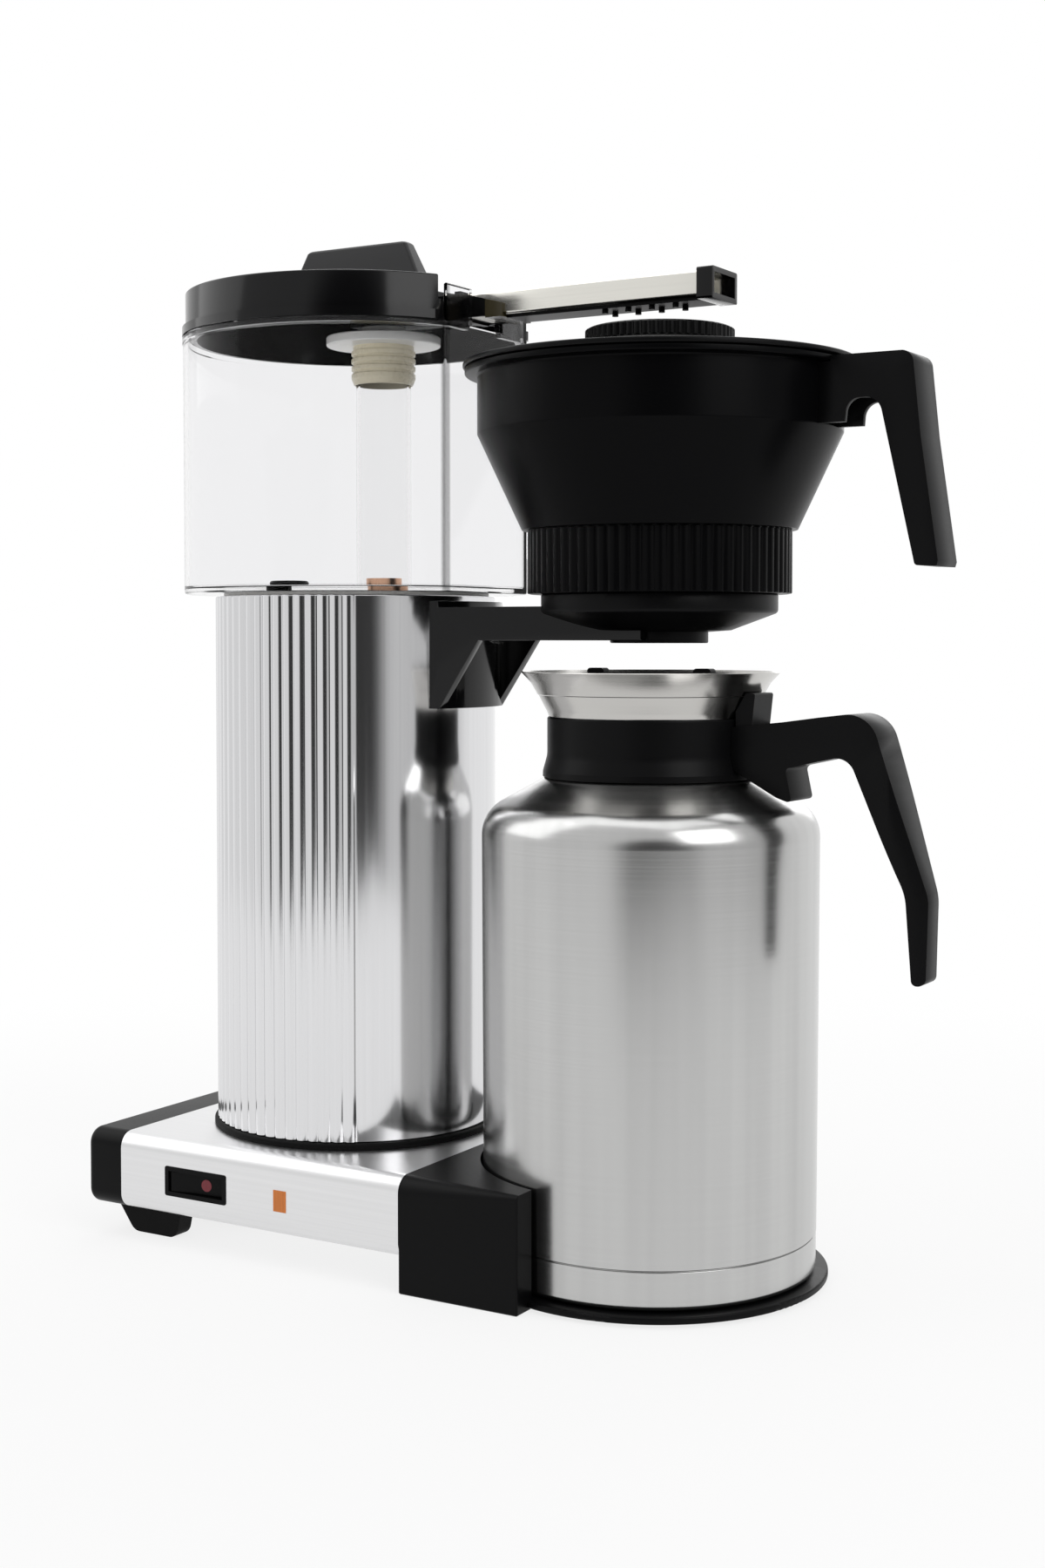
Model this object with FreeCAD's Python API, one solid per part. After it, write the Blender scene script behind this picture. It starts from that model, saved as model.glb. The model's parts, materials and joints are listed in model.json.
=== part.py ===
import FreeCAD, Part
import math
import os
from FreeCAD import Vector

# Drip coffee maker, in millimetres: X runs from the tower to the handles, -Y is the switch side, +Z is up.
# The origin is on the table, in the middle of the machine's length and width.

# Driving dimensions: lengths along X
overall_length = 370.7
cap_length = 19.9
profile_length = 148.5
housing_length = 56.6
carafe_from_rear = 241.9
tower_to_carafe = 150.25
basket_offset = 4.0
riser_offset = 14.95

# Driving dimensions: base
base_half_width = 80.8
base_top = 48.2
base_bottom = 14.2
base_wall = 2.5
base_round = 7.0
cap_round = 3.5
housing_bottom = 0.1
housing_wall = 3.0
housing_round_rear = 8.0
housing_round_front = 2.0
pocket_gap = 1.5
plate_radius = 75.0
plate_bottom = 1.5
plate_top = 4.5
plate_round = 0.9
pad_radius = 8.0
pad_circle = 58.0
foot_inner_y = 57.0
foot_outer_y = 66.0
foot_start = -16.0
foot_heel = -5.5
foot_toe = 19.0
foot_end = 22.0
cover_half_width = 44.0
cover_thickness = 1.5
cover_from_profile_end = 40.0
cover_end_gap = 3.0
cover_screw_inset = 6.0
cover_screw_radius = 1.5
cover_screw_head = 2.8
gland_y = 45.0
gland_z = 30.0
gland_radius = 7.0
gland_length = 10.0
gland_flange = 1.5
gland_bore = 3.6

# Driving dimensions: switch and lamp, on the -Y side
switch_from_rear = 62.2
switch_length = 33.8
switch_height = 13.0
switch_z = 30.4
bezel_proud = 0.3
bezel_rim = 2.0
bezel_depth = 9.0
rocker_tilt = 5.0
rocker_set_in = 1.1
rocker_valley = 1.9
rocker_back = 6.0
rocker_back_draft = 1.4
rocker_end_gap = 0.8
rocker_side_gap = 0.3
pivot_depth = 3.5
lens_offset = 4.6
lens_radius = 2.6
lens_face = 1.4
lens_back = 3.0
contact_block_half_length = 13.0
contact_block_half_height = 6.0
contact_block_depth = 16.0
lamp_from_rear = 108.0
lamp_length = 6.5
lamp_height = 9.1
lamp_z = 29.8
lamp_proud = 0.25
lamp_lens_depth = 4.0
lamp_tube_depth = 18.0
lamp_tube_radius = 2.5
terminal_start = 25.0
terminal_y = 50.0
terminal_length = 30.0
terminal_width = 20.0
terminal_height = 14.0
terminal_pitch = 8.0
terminal_bore = 1.8

# Driving dimensions: tower
tower_radius = 63.9
tower_wall = 2.6
tower_top = 286.3
tower_cap_thickness = 6.5
ring_radius = 65.3
ring_height = 2.8
reed_depth = 1.0
reed_count = 50
reed_start = 55.4
gasket_outer = 60.0
gasket_inner = 52.0
nut_radius = 15.0
nut_height = 6.0

# Driving dimensions: tank and lid
tank_radius = 77.6
tank_front = 70.2
tank_wall = 2.0
tank_bottom = 287.4
tank_floor = 2.2
tank_rim = 402.0
tank_fence_top = 417.9
tank_lip = 0.4
tank_lip_height = 3.5
tank_corner_round = 2.0
tank_notch_half = 12.9
lid_radius = 76.5
lid_flare_radius = 78.0
lid_plug_radius = 74.0
lid_plug_bottom = 400.4
lid_bottom = 402.4
lid_flare_top = 406.3
lid_ledge = 411.0
lid_top = 421.4
lid_notch = 24.0
lid_notch_overrun = 0.6
lid_wall = 2.5
lid_edge_round = 0.8
lid_slot_half = 13.2
knob_top = 444.4
knob_offset = 2.2
knob_base_length = 76.0
knob_top_length = 53.5
knob_base_width = 11.0
knob_top_width = 7.0
knob_round = 1.2

# Driving dimensions: water way
outlet_x_offset = -23.3
outlet_y = -20.0
strainer_radius = 8.8
strainer_height = 4.0
strainer_round = 1.2
spigot_radius = 5.0
spigot_drop = 22.0
way_radius = 3.0
hose_radius = 6.8
hose_gap = 9.0
riser_radius = 12.3
riser_wall = 1.5
riser_top = 388.0
boiler_radius = 11.0
boiler_wall = 1.5
boiler_end = 2.0
neck_radius = 8.0
neck_wall = 2.0
neck_rise = 5.0
boiler_bottom = 56.0
boiler_top = 264.0
valve_radius = 10.0
valve_top = 86.0
valve_raise = 2.0
valve_spigot = 12.0
valve_roof = 8.0
valve_chamber_radius = 6.2
valve_chamber_height = 12.0
valve_way_rise = 5.0
ball_radius = 5.0
rod_radius = 3.5
rod_gap = 1.0
rod_start = 10.0
rod_end = 14.0
strap_half_length = 14.0
strap_half_width = 21.0
strap_round = 4.0
strap_height = 8.0
strap_low = 34.0
strap_high = 54.0
thermostat_z = 150.0
thermostat_radius = 8.0
thermostat_depth = 7.0
thermostat_stem_radius = 5.0
thermostat_stem = 3.0
fuse_radius = 2.2
fuse_bottom = 140.0
fuse_length = 16.0

# Driving dimensions: outlet arm, along X from the riser's axis
arm_mid_z = 411.65
arm_half_width = 11.0
arm_half_height = 5.25
arm_wall = 1.0
arm_round = 1.5
arm_back = -11.0
arm_start = 51.3
arm_end = 162.9
arm_cap_length = 7.0
arm_cap_side = 1.0
arm_cap_rise = 1.2
arm_cap_wall = 2.2
arm_cap_round = 1.0
root_side_gap = 0.4
root_top_gap = 0.3
spigot_length = 8.0
flange_start = 45.3
flange_end = 48.3
flange_half_width = 12.4
flange_half_height = 6.0
cheek_half_width = 12.2
cheek_slope_start = 50.4
cheek_joint = 61.3
cheek_end = 69.8
cheek_bottom = 406.1
cheek_top = 416.3
cheek_end_top = 411.3
saddle_thickness = 1.0
strip_half_width = 8.0
strip_thickness = 1.2
nub_count = 4
nub_y = 4.5
nub_pitch = 11.0
nub_from_end = 14.0
nub_radius = 1.3
nub_length = 1.6
coupling_radius = 14.4
coupling_top = 398.4
coupling_bottom = 381.0
coupling_ribs = 4
coupling_rib_pitch = 3.4
coupling_rib_land = 2.0
coupling_rib_depth = 0.7
coupling_foot = 3.0
disc_radius = 25.6
disc_top = 402.6
hub_radius = 10.0
hub_bore = 8.0
hub_rise = 4.0

# Driving dimensions: basket and its bracket
basket_rim_radius = 82.0
basket_radius = 76.0
basket_foot_radius = 55.1
basket_wall = 2.5
basket_rim = 379.2
basket_shoulder = 352.3
basket_waist = 312.4
basket_waist_ledge = 2.4
basket_bottom = 286.0
basket_floor = 3.0
basket_drain = 5.0
basket_flutes = 72
flute_depth = 0.8
rim_ledge = 0.8
rim_depth = 3.0
housing_disc_radius = 49.4
housing_disc_bottom = 278.3
nozzle_radius = 20.5
nozzle_bottom = 265.7
nozzle_top = 270.3
nozzle_wall = 2.5
nozzle_brim = 30.0
collar_radius = 31.1
collar_top = 395.9
collar_wall = 7.5
collar_knurls = 56
knurl_depth = 0.8
cover_rise = 7.5
cover_sheet = 3.0
cover_skirt = 4.0
cover_skirt_wall = 2.2
rail_inner = 21.8
rail_outer = 26.6
rail_bottom = 266.8
rail_top = 281.0
rail_gap = 0.6
rail_reach = 5.0
bracket_bottom = 237.3
bracket_top = 283.8
bracket_plate = 4.0
bracket_root = 40.0
bracket_web = 4.0
gusset_reach = 20.0
bracket_screw_y = 15.0
bracket_screw_radius = 1.6
bracket_screw_length = 18.0
bracket_screw_head = 3.0
bracket_screw_head_height = 2.2
basket_handle_drop = 0.7
basket_handle_end = 295.4
basket_handle_arch = 361.4
basket_handle_bend = 346.0
basket_handle_wall = 2.6

# Driving dimensions: carafe
carafe_radius = 70.0
carafe_top_radius = 70.8
carafe_bottom = 4.8
carafe_seam = 21.0
carafe_neck_radius = 43.0
carafe_neck_top = 235.2
shoulder_top = 209.8
shoulder_edge = 194.8
shoulder_round = 16.0
shell_thickness = 1.0
seam_gap = 0.6
cup_lap = 4.0
cup_hollow = 2.0
flask_gap = 5.0
flask_raise = 9.0
flask_round = 14.0
neck_band_radius = 43.4
neck_band_foot = 45.2
funnel_rim = 253.8
funnel_rim_radius = 54.2
funnel_sheet = 0.9
funnel_foot = 1.2
funnel_foot_radius = 42.7
handle_half_width = 11.0
handle_tip_half_width = 6.0
handle_top = 239.0
handle_end = 132.4
collar_screw_drop = 10.4
collar_screw_radius = 2.0
collar_screw_reach = 58.0
clip_half_width = 9.0
clip_bottom = 232.0
clip_top = 245.5
stopper_gap = 5.6
stopper_drop = 10.4
seal_depth = 3.5
lug_inner = 21.0
lug_outer = 29.0
lug_half_width = 2.5
lug_rise = 1.4
mixing_radius = 5.2
mixing_wall = 1.0
mixing_bottom = 26.0

# Gaps between separate pieces
loose = 0.3
tiny = 1e-6

# Stations along X
rear_x = -overall_length / 2
tip_x = overall_length / 2
profile_x0 = rear_x + cap_length
profile_x1 = profile_x0 + profile_length
housing_x1 = profile_x1 + housing_length
carafe_x = rear_x + carafe_from_rear
tower_x = carafe_x - tower_to_carafe
basket_x = carafe_x + basket_offset
riser_x = tower_x + riser_offset
outlet_x = tower_x + outlet_x_offset
switch_x = rear_x + switch_from_rear
lamp_x = rear_x + lamp_from_rear

# Places worked out from the dimensions above
rocker_half_length = switch_length / 2 - bezel_rim - rocker_end_gap
rocker_half_height = switch_height / 2 - bezel_rim - rocker_side_gap
pivot_y = -base_half_width + pivot_depth
hose_top = tower_top - hose_gap
valve_bottom = boiler_bottom + valve_raise
chamber_top = valve_top - valve_roof
chamber_bottom = chamber_top - valve_chamber_height
way_z = valve_bottom + valve_way_rise
rod_spot = boiler_radius + rod_gap + rod_radius
hub_top = arm_mid_z - hub_rise
cover_plate_z = basket_rim + cover_rise
collar_screw_z = carafe_neck_top - collar_screw_drop
stopper_radius = carafe_neck_radius - stopper_gap
stopper_low = carafe_neck_top - stopper_drop


# Shape helpers

def box(x0, x1, y0, y1, z0, z1):
    """Block between two corners."""
    return Part.makeBox(x1 - x0, y1 - y0, z1 - z0, Vector(x0, y0, z0))


def post(x, y, z0, z1, radius):
    """Upright cylinder."""
    return Part.makeCylinder(radius, z1 - z0, Vector(x, y, z0))


def sleeve(x, y, z0, z1, outer, inner):
    """Upright tube."""
    return post(x, y, z0, z1, outer).cut(post(x, y, z0, z1, inner))


def rod_x(x0, x1, y, z, radius):
    """Cylinder lying along X."""
    return Part.makeCylinder(radius, x1 - x0, Vector(x0, y, z), Vector(1, 0, 0))


def rod_y(x, y0, y1, z, radius):
    """Cylinder lying along Y."""
    return Part.makeCylinder(radius, y1 - y0, Vector(x, y0, z), Vector(0, 1, 0))


def outline(corners, place):
    """Closed wire through the corners (u, v, radius), each rounded by its own radius."""
    spans = []
    for i, (u, v, radius) in enumerate(corners):
        here = Vector(u, v, 0)
        if radius == 0:
            spans.append((here, None, here))
            continue
        before = corners[i - 1]
        after = corners[(i + 1) % len(corners)]
        back = (Vector(before[0], before[1], 0) - here).normalize()
        ahead = (Vector(after[0], after[1], 0) - here).normalize()
        half_angle = back.getAngle(ahead) / 2
        reach = radius / math.tan(half_angle)
        inward = (back + ahead).normalize()
        middle = here + inward * (radius / math.sin(half_angle) - radius)
        spans.append((here + back * reach, middle, here + ahead * reach))
    edges = []
    for i, (start, middle, end) in enumerate(spans):
        if middle is not None:
            edges.append(Part.Arc(place(start), place(middle), place(end)).toShape())
        following = spans[(i + 1) % len(spans)][0]
        if end.distanceToPoint(following) > tiny:
            edges.append(Part.makeLine(place(end), place(following)))
    return Part.Wire(edges)


def prism_x(corners, x0, x1):
    """Solid of an outline in Y and Z, carried along X."""
    face = Part.Face(outline(corners, lambda p: Vector(x0, p.x, p.y)))
    return face.extrude(Vector(x1 - x0, 0, 0))


def prism_y(corners, y0, y1):
    """Solid of an outline in X and Z, carried along Y."""
    face = Part.Face(outline(corners, lambda p: Vector(p.x, y0, p.y)))
    return face.extrude(Vector(0, y1 - y0, 0))


def prism_z(corners, z0, z1):
    """Solid of an outline in X and Y, carried along Z."""
    face = Part.Face(outline(corners, lambda p: Vector(p.x, p.y, z0)))
    return face.extrude(Vector(0, 0, z1 - z0))


def turned(x, corners):
    """Solid of an outline in radius and height, turned about the upright axis at x."""
    face = Part.Face(outline(corners, lambda p: Vector(x + p.x, 0, p.y)))
    return face.revolve(Vector(x, 0, 0), Vector(0, 0, 1), 360)


def polar(x, radius, degrees, z):
    """Point at a radius and plan angle about the upright axis at x."""
    angle = math.radians(degrees)
    return Vector(x + radius * math.cos(angle), radius * math.sin(angle), z)


def lobed(x, z0, z1, crest, valley, count, first, sweep):
    """Upright solid whose round side is a row of convex lobes over the sweep, smooth over the rest."""
    pitch = sweep / count
    edges = []
    for i in range(count):
        start = first + i * pitch
        ends = (polar(x, valley, start, z0), polar(x, valley, start + pitch, z0))
        top = polar(x, crest, start + pitch / 2, z0)
        edges.append(Part.Arc(ends[0], top, ends[1]).toShape())
    if sweep < 360:
        rest = (360 - sweep) / 2
        end = first + sweep
        points = [polar(x, valley, angle, z0) for angle in (end, end + rest, first)]
        edges.append(Part.Arc(*points).toShape())
    return Part.Face(Part.Wire(edges)).extrude(Vector(0, 0, z1 - z0))


def d_block(radius, front, z0, z1):
    """Upright solid of a circle about the tower's axis, cut flat at the front."""
    half = math.sqrt(radius ** 2 - front ** 2)
    ends = (Vector(tower_x + front, half, z0), Vector(tower_x + front, -half, z0))
    back = Part.Arc(ends[0], Vector(tower_x - radius, 0, z0), ends[1]).toShape()
    wire = Part.Wire([back, Part.makeLine(ends[1], ends[0])])
    return Part.Face(wire).extrude(Vector(0, 0, z1 - z0))


def edges_where(shape, test):
    """Edges whose two ends both pass the test."""
    return [e for e in shape.Edges if all(test(v.Point) for v in e.Vertexes)]


def near(a, b):
    """True where two lengths agree."""
    return abs(a - b) < 1e-4


def both_sides(shape):
    """The shape and its mirror image on the other side of the machine, as two solids."""
    return Part.makeCompound([shape, shape.mirror(Vector(0, 0, 0), Vector(0, 1, 0))])


# Base

def base_outline(inset):
    """Rounded section of the base, drawn in by the inset."""
    half = base_half_width - inset
    radius = base_round - inset
    low = base_bottom + inset
    high = base_top - inset
    return [(-half, low, radius), (half, low, radius), (half, high, radius), (-half, high, radius)]


def side_opening(x, length, z, height):
    """Block that cuts an opening through the base's -Y wall."""
    outside = -base_half_width - 1
    inside = -base_half_width + base_wall + 1
    return box(x - length / 2, x + length / 2, outside, inside, z - height / 2, z + height / 2)


def make_base_profile():
    """Hollow extrusion with its bottom slot, switch and lamp openings and the hole under the tower."""
    shape = prism_x(base_outline(0), profile_x0, profile_x1)
    shape = shape.cut(prism_x(base_outline(base_wall), profile_x0, profile_x1))
    slot = cover_half_width - 4
    shape = shape.cut(box(profile_x0, profile_x1, -slot, slot, base_bottom - 1, base_bottom + base_wall + 1))
    sleeve_length = switch_length - 2 * bezel_rim + 1
    sleeve_height = switch_height - 2 * bezel_rim + 1
    shape = shape.cut(side_opening(switch_x, sleeve_length, switch_z, sleeve_height))
    shape = shape.cut(side_opening(lamp_x, lamp_length, lamp_z, lamp_height))
    return shape.cut(post(tower_x, 0, base_top - 2 * base_wall, base_top + 1, 2 * valve_radius))


def make_rear_end_cap():
    """Moulded cap over the profile's rear end, rounded at its edge, with a seat for the gland."""
    shape = prism_x(base_outline(0), rear_x, profile_x0)
    rim = edges_where(shape, lambda p: near(p.x, rear_x))
    shape = shape.makeFillet(cap_round, rim)
    shape = shape.cut(prism_x(base_outline(housing_wall), rear_x + housing_wall, profile_x0))
    return shape.cut(rod_x(rear_x - 1, rear_x + housing_wall + 1, gland_y, gland_z, gland_radius))


def make_cord_gland():
    """Bushing for the mains lead, flush with the cap's rear face."""
    inner_x = rear_x + housing_wall
    shape = rod_x(rear_x, inner_x, gland_y, gland_z, gland_radius)
    shape = shape.fuse(rod_x(inner_x, rear_x + gland_length, gland_y, gland_z, gland_radius + gland_flange))
    bore = rod_x(rear_x - 1, rear_x + gland_length + 1, gland_y, gland_z, gland_bore)
    return shape.cut(bore).removeSplitter()


def make_front_housing():
    """Deep front moulding with the round pocket that hugs the carafe, open underneath."""
    half = base_half_width
    shape = box(profile_x1, housing_x1, -half, half, housing_bottom, base_top)
    for side in (-half, half):
        top_edge = edges_where(shape, lambda p: near(p.y, side) and near(p.z, base_top))
        rounds = (housing_round_rear, housing_round_front)
        if top_edge[0].firstVertex(True).Point.x > top_edge[0].lastVertex(True).Point.x:
            rounds = rounds[::-1]
        shape = shape.makeFillet(rounds[0], rounds[1], top_edge)
    pocket = carafe_radius + pocket_gap
    roof = base_top - housing_wall
    hollow_half = half - housing_wall
    hollow_x = (profile_x1 + housing_wall, housing_x1 - housing_wall)
    hollow = box(hollow_x[0], hollow_x[1], -hollow_half, hollow_half, housing_bottom - 1, roof - base_round)
    hollow = hollow.cut(post(carafe_x, 0, housing_bottom - 1, roof, pocket + housing_wall))
    return shape.cut(hollow).cut(post(carafe_x, 0, housing_bottom - 1, base_top + 1, pocket))


def make_carafe_plate():
    """Round plate under the carafe, stepped in where it enters the housing's pocket."""
    wide = post(carafe_x, 0, plate_bottom, plate_top, plate_radius)
    rims = [e for e in wide.Edges if e.Closed]
    wide = wide.makeFillet(plate_round, rims)
    wide = wide.cut(box(rear_x, housing_x1, -base_half_width, base_half_width, 0, base_top))
    return wide.fuse(post(carafe_x, 0, plate_bottom, plate_top, carafe_radius + pocket_gap)).removeSplitter()


def make_front_pads():
    """Rubber pads under the carafe plate."""
    spots = [polar(carafe_x, pad_circle, angle, 0) for angle in (0, 120, 240)]
    return Part.makeCompound([post(p.x, p.y, 0, plate_bottom, pad_radius) for p in spots])


def make_rear_feet():
    """Pair of feet under the rear end, each with a slanted heel and a rounded toe."""
    corners = [(profile_x0 + foot_start, base_bottom, 0), (profile_x0 + foot_heel, 0, 6),
               (profile_x0 + foot_toe, 0, 5), (profile_x0 + foot_end, base_bottom, 0)]
    return both_sides(prism_y(corners, foot_inner_y, foot_outer_y))


def make_bottom_cover():
    """Sheet that closes the slot in the profile's underside, drilled for its screws."""
    half = cover_half_width
    low = base_bottom - cover_thickness
    x0 = profile_x0 + cover_from_profile_end
    x1 = profile_x1 - cover_end_gap
    shape = prism_z([(x0, -half, 3), (x1, -half, 3), (x1, half, 3), (x0, half, 3)], low, base_bottom)
    for spot in cover_screw_spots():
        shape = shape.cut(post(spot.x, spot.y, low - 1, base_bottom + 1, cover_screw_radius))
    return shape


def cover_screw_spots():
    """Places of the four cover screws, over the profile's slot edges."""
    first = profile_x0 + cover_from_profile_end + cover_screw_inset
    last = profile_x1 - cover_end_gap - cover_screw_inset
    side = cover_half_width - 2
    return [Vector(x, y, 0) for x in (first, last) for y in (-side, side)]


def make_cover_screws():
    """Four pan-head screws that hold the cover."""
    low = base_bottom - cover_thickness
    screws = []
    for spot in cover_screw_spots():
        head = post(spot.x, spot.y, low - cover_screw_radius, low, cover_screw_head)
        screws.append(head.fuse(post(spot.x, spot.y, low, base_bottom, cover_screw_radius)).removeSplitter())
    return Part.makeCompound(screws)


# Switch and lamp

def make_switch_bezel():
    """Rectangular frame of the switch, proud of the wall outside and reaching through it."""
    face = -base_half_width
    x0 = switch_x - switch_length / 2
    x1 = switch_x + switch_length / 2
    low = switch_z - switch_height / 2
    high = switch_z + switch_height / 2
    corners = [(x0, low, 1), (x1, low, 1), (x1, high, 1), (x0, high, 1)]
    shape = prism_y(corners, face - bezel_proud, face)
    neck = bezel_rim - 0.5
    shape = shape.fuse(box(x0 + neck, x1 - neck, face, face + bezel_depth, low + neck, high - neck))
    rim = bezel_rim
    opening = box(x0 + rim, x1 - rim, face - 2, face + bezel_depth, low + rim, high - rim)
    return shape.cut(opening).removeSplitter()


def tilted(shape):
    """The rocker's parts turned to the off position about the upright pivot."""
    shape.rotate(Vector(switch_x, pivot_y, switch_z), Vector(0, 0, 1), rocker_tilt)
    return shape


def make_switch_rocker():
    """Rocker with a shallow V face, turned to off, with a seat for its lens."""
    face = -base_half_width
    half = rocker_half_length
    ends = face + rocker_set_in
    back = face + rocker_back
    corners = [(switch_x - half, ends, 0.5), (switch_x, face + rocker_valley, 0),
               (switch_x + half, ends, 0.5), (switch_x + half - rocker_back_draft, back, 1),
               (switch_x - half + rocker_back_draft, back, 1)]
    shape = prism_z(corners, switch_z - rocker_half_height, switch_z + rocker_half_height)
    return tilted(shape.cut(rod_y(switch_x + lens_offset, face, face + lens_back, switch_z, lens_radius)))


def make_rocker_lens():
    """Small round lens in the rocker's lamp end."""
    face = -base_half_width
    return tilted(rod_y(switch_x + lens_offset, face + lens_face, face + lens_back, switch_z, lens_radius))


def make_switch_body():
    """Contact block behind the rocker."""
    back = -base_half_width + bezel_depth
    return box(switch_x - contact_block_half_length, switch_x + contact_block_half_length,
               back, back + contact_block_depth,
               switch_z - contact_block_half_height, switch_z + contact_block_half_height)


def make_indicator_lens():
    """Rectangular lens in the base's side, slightly proud."""
    face = -base_half_width
    half = lamp_length / 2
    return box(lamp_x - half, lamp_x + half, face - lamp_proud, face + lamp_lens_depth,
               lamp_z - lamp_height / 2, lamp_z + lamp_height / 2)


def make_indicator_lamp():
    """Small glow lamp behind the lens."""
    face = -base_half_width
    return rod_y(lamp_x, face + lamp_lens_depth, face + lamp_tube_depth, lamp_z, lamp_tube_radius)


def make_terminal_block():
    """Screw terminal strip on the base's floor, with three wire holes."""
    floor = base_bottom + base_wall
    x0 = tower_x + terminal_start
    y1 = terminal_y + terminal_width
    shape = box(x0, x0 + terminal_length, terminal_y, y1, floor, floor + terminal_height)
    middle = x0 + terminal_length / 2
    for k in (-1, 0, 1):
        x = middle + k * terminal_pitch
        shape = shape.cut(rod_y(x, terminal_y - 1, y1 + 1, floor + terminal_height / 2, terminal_bore))
    return shape


# Tower

def make_tower_foot_ring():
    """Ring seal between the tower and the base."""
    return sleeve(tower_x, 0, base_top, base_top + ring_height, ring_radius, tower_radius - tower_wall)


def make_tower_shell():
    """Tower tube, reeded behind and smooth in front, drilled for the bracket's screws."""
    low = base_top + ring_height
    valley = tower_radius - reed_depth
    shape = lobed(tower_x, low, tower_top, tower_radius, valley, reed_count, reed_start, 360 - 2 * reed_start)
    shape = shape.cut(post(tower_x, 0, low, tower_top, tower_radius - tower_wall))
    for screw in bracket_screw_lines():
        shape = shape.cut(screw)
    return shape


def make_tower_cap():
    """Plate inside the tower's top that carries the tank."""
    low = tower_top - tower_cap_thickness
    shape = post(tower_x, 0, low, tower_top, tower_radius - tower_wall)
    shape = shape.cut(post(riser_x, 0, low - 1, tower_top + 1, neck_radius))
    return shape.cut(post(outlet_x, outlet_y, low - 1, tower_top + 1, spigot_radius))


def make_tank_gasket():
    """Flat ring between the tower's cap and the tank's floor."""
    return sleeve(tower_x, 0, tower_top, tank_bottom, gasket_outer, gasket_inner)


def make_tank_nut():
    """Hexagon nut on the boiler's neck, under the tower's cap."""
    points = [polar(riser_x, nut_radius, angle, 0) for angle in range(0, 360, 60)]
    top = tower_top - tower_cap_thickness
    shape = prism_z([(p.x, p.y, 0) for p in points], top - nut_height, top)
    return shape.cut(post(riser_x, 0, top - nut_height - 1, top + 1, neck_radius))


# Water way inside the tower

def make_tank_strainer():
    """Low strainer cap on the tank's floor with its spigot down into the tower."""
    floor = tank_bottom + tank_floor
    top = floor + strainer_height
    low = tower_top - spigot_drop
    shape = post(outlet_x, outlet_y, floor, top, strainer_radius)
    rim = [e for e in shape.Edges if e.Closed and near(e.CenterOfMass.z, top)]
    shape = shape.makeFillet(strainer_round, rim)
    shape = shape.fuse(post(outlet_x, outlet_y, low, floor, spigot_radius)).removeSplitter()
    return shape.cut(post(outlet_x, outlet_y, low - 1, top - strainer_round, way_radius))


def make_feed_hose():
    """Silicone hose from the strainer's spigot down to the check valve."""
    return sleeve(outlet_x, outlet_y, valve_top, hose_top, hose_radius, spigot_radius)


def make_check_valve_body():
    """Upright valve body with the ball's chamber and a side way to the boiler."""
    shape = post(outlet_x, outlet_y, valve_bottom, valve_top, valve_radius)
    spigot_top = valve_top + valve_spigot
    shape = shape.fuse(post(outlet_x, outlet_y, valve_top, spigot_top, spigot_radius)).removeSplitter()
    shape = shape.cut(post(outlet_x, outlet_y, way_z, spigot_top + 1, way_radius))
    shape = shape.cut(post(outlet_x, outlet_y, chamber_bottom, chamber_top, valve_chamber_radius))
    return shape.cut(cross_rod(way_radius))


def make_check_ball():
    """Ball that shuts the way back to the tank when steam pushes it up."""
    return Part.makeSphere(ball_radius, Vector(outlet_x, outlet_y, chamber_bottom + ball_radius + loose))


def cross_rod(radius):
    """Level rod from the valve's axis to the boiler's axis."""
    start = Vector(outlet_x, outlet_y, way_z)
    reach = Vector(riser_x, 0, way_z) - start
    return Part.makeCylinder(radius, reach.Length, start, reach)


def make_cross_tube():
    """Short tube from the valve to the foot of the boiler."""
    shape = cross_rod(spigot_radius).cut(cross_rod(way_radius))
    shape = shape.cut(post(outlet_x, outlet_y, valve_bottom, valve_top, valve_radius))
    return shape.cut(post(riser_x, 0, boiler_bottom, boiler_top, boiler_radius))


def make_boiler_tube():
    """Copper boiler, closed below, with the threaded neck that passes up into the tank."""
    neck_top = tank_bottom + tank_floor + neck_rise
    shape = post(riser_x, 0, boiler_bottom, boiler_top, boiler_radius)
    shape = shape.fuse(post(riser_x, 0, boiler_top, neck_top, neck_radius)).removeSplitter()
    bore = post(riser_x, 0, boiler_bottom + boiler_end, boiler_top - boiler_end, boiler_radius - boiler_wall)
    shape = shape.cut(bore)
    shape = shape.cut(post(riser_x, 0, boiler_top - boiler_end - 1, neck_top + 1, neck_radius - neck_wall))
    return shape.cut(cross_rod(way_radius))


def make_heater_rods():
    """Pair of sheathed heating rods beside the boiler."""
    return both_sides(post(riser_x, rod_spot, boiler_bottom + rod_start, boiler_top - rod_end, rod_radius))


def make_boiler_straps():
    """Two plates that clamp the rods to the boiler."""
    x0 = riser_x - strap_half_length
    x1 = riser_x + strap_half_length
    half = strap_half_width
    corners = [(x, y, strap_round) for x, y in ((x0, -half), (x1, -half), (x1, half), (x0, half))]
    straps = []
    for z in (boiler_bottom + strap_low, boiler_top - strap_high):
        top = z + strap_height
        strap = prism_z(corners, z, top).cut(post(riser_x, 0, z - 1, top + 1, boiler_radius))
        for side in (-rod_spot, rod_spot):
            strap = strap.cut(post(riser_x, side, z - 1, top + 1, rod_radius))
        straps.append(strap)
    return Part.makeCompound(straps)


def make_thermostat():
    """Disc thermostat against the boiler's front."""
    start = riser_x + boiler_radius
    back = start + thermostat_depth
    shape = rod_x(start, back, 0, thermostat_z, thermostat_radius)
    stem = rod_x(back, back + thermostat_stem, 0, thermostat_z, thermostat_stem_radius)
    return shape.fuse(stem).removeSplitter()


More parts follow.
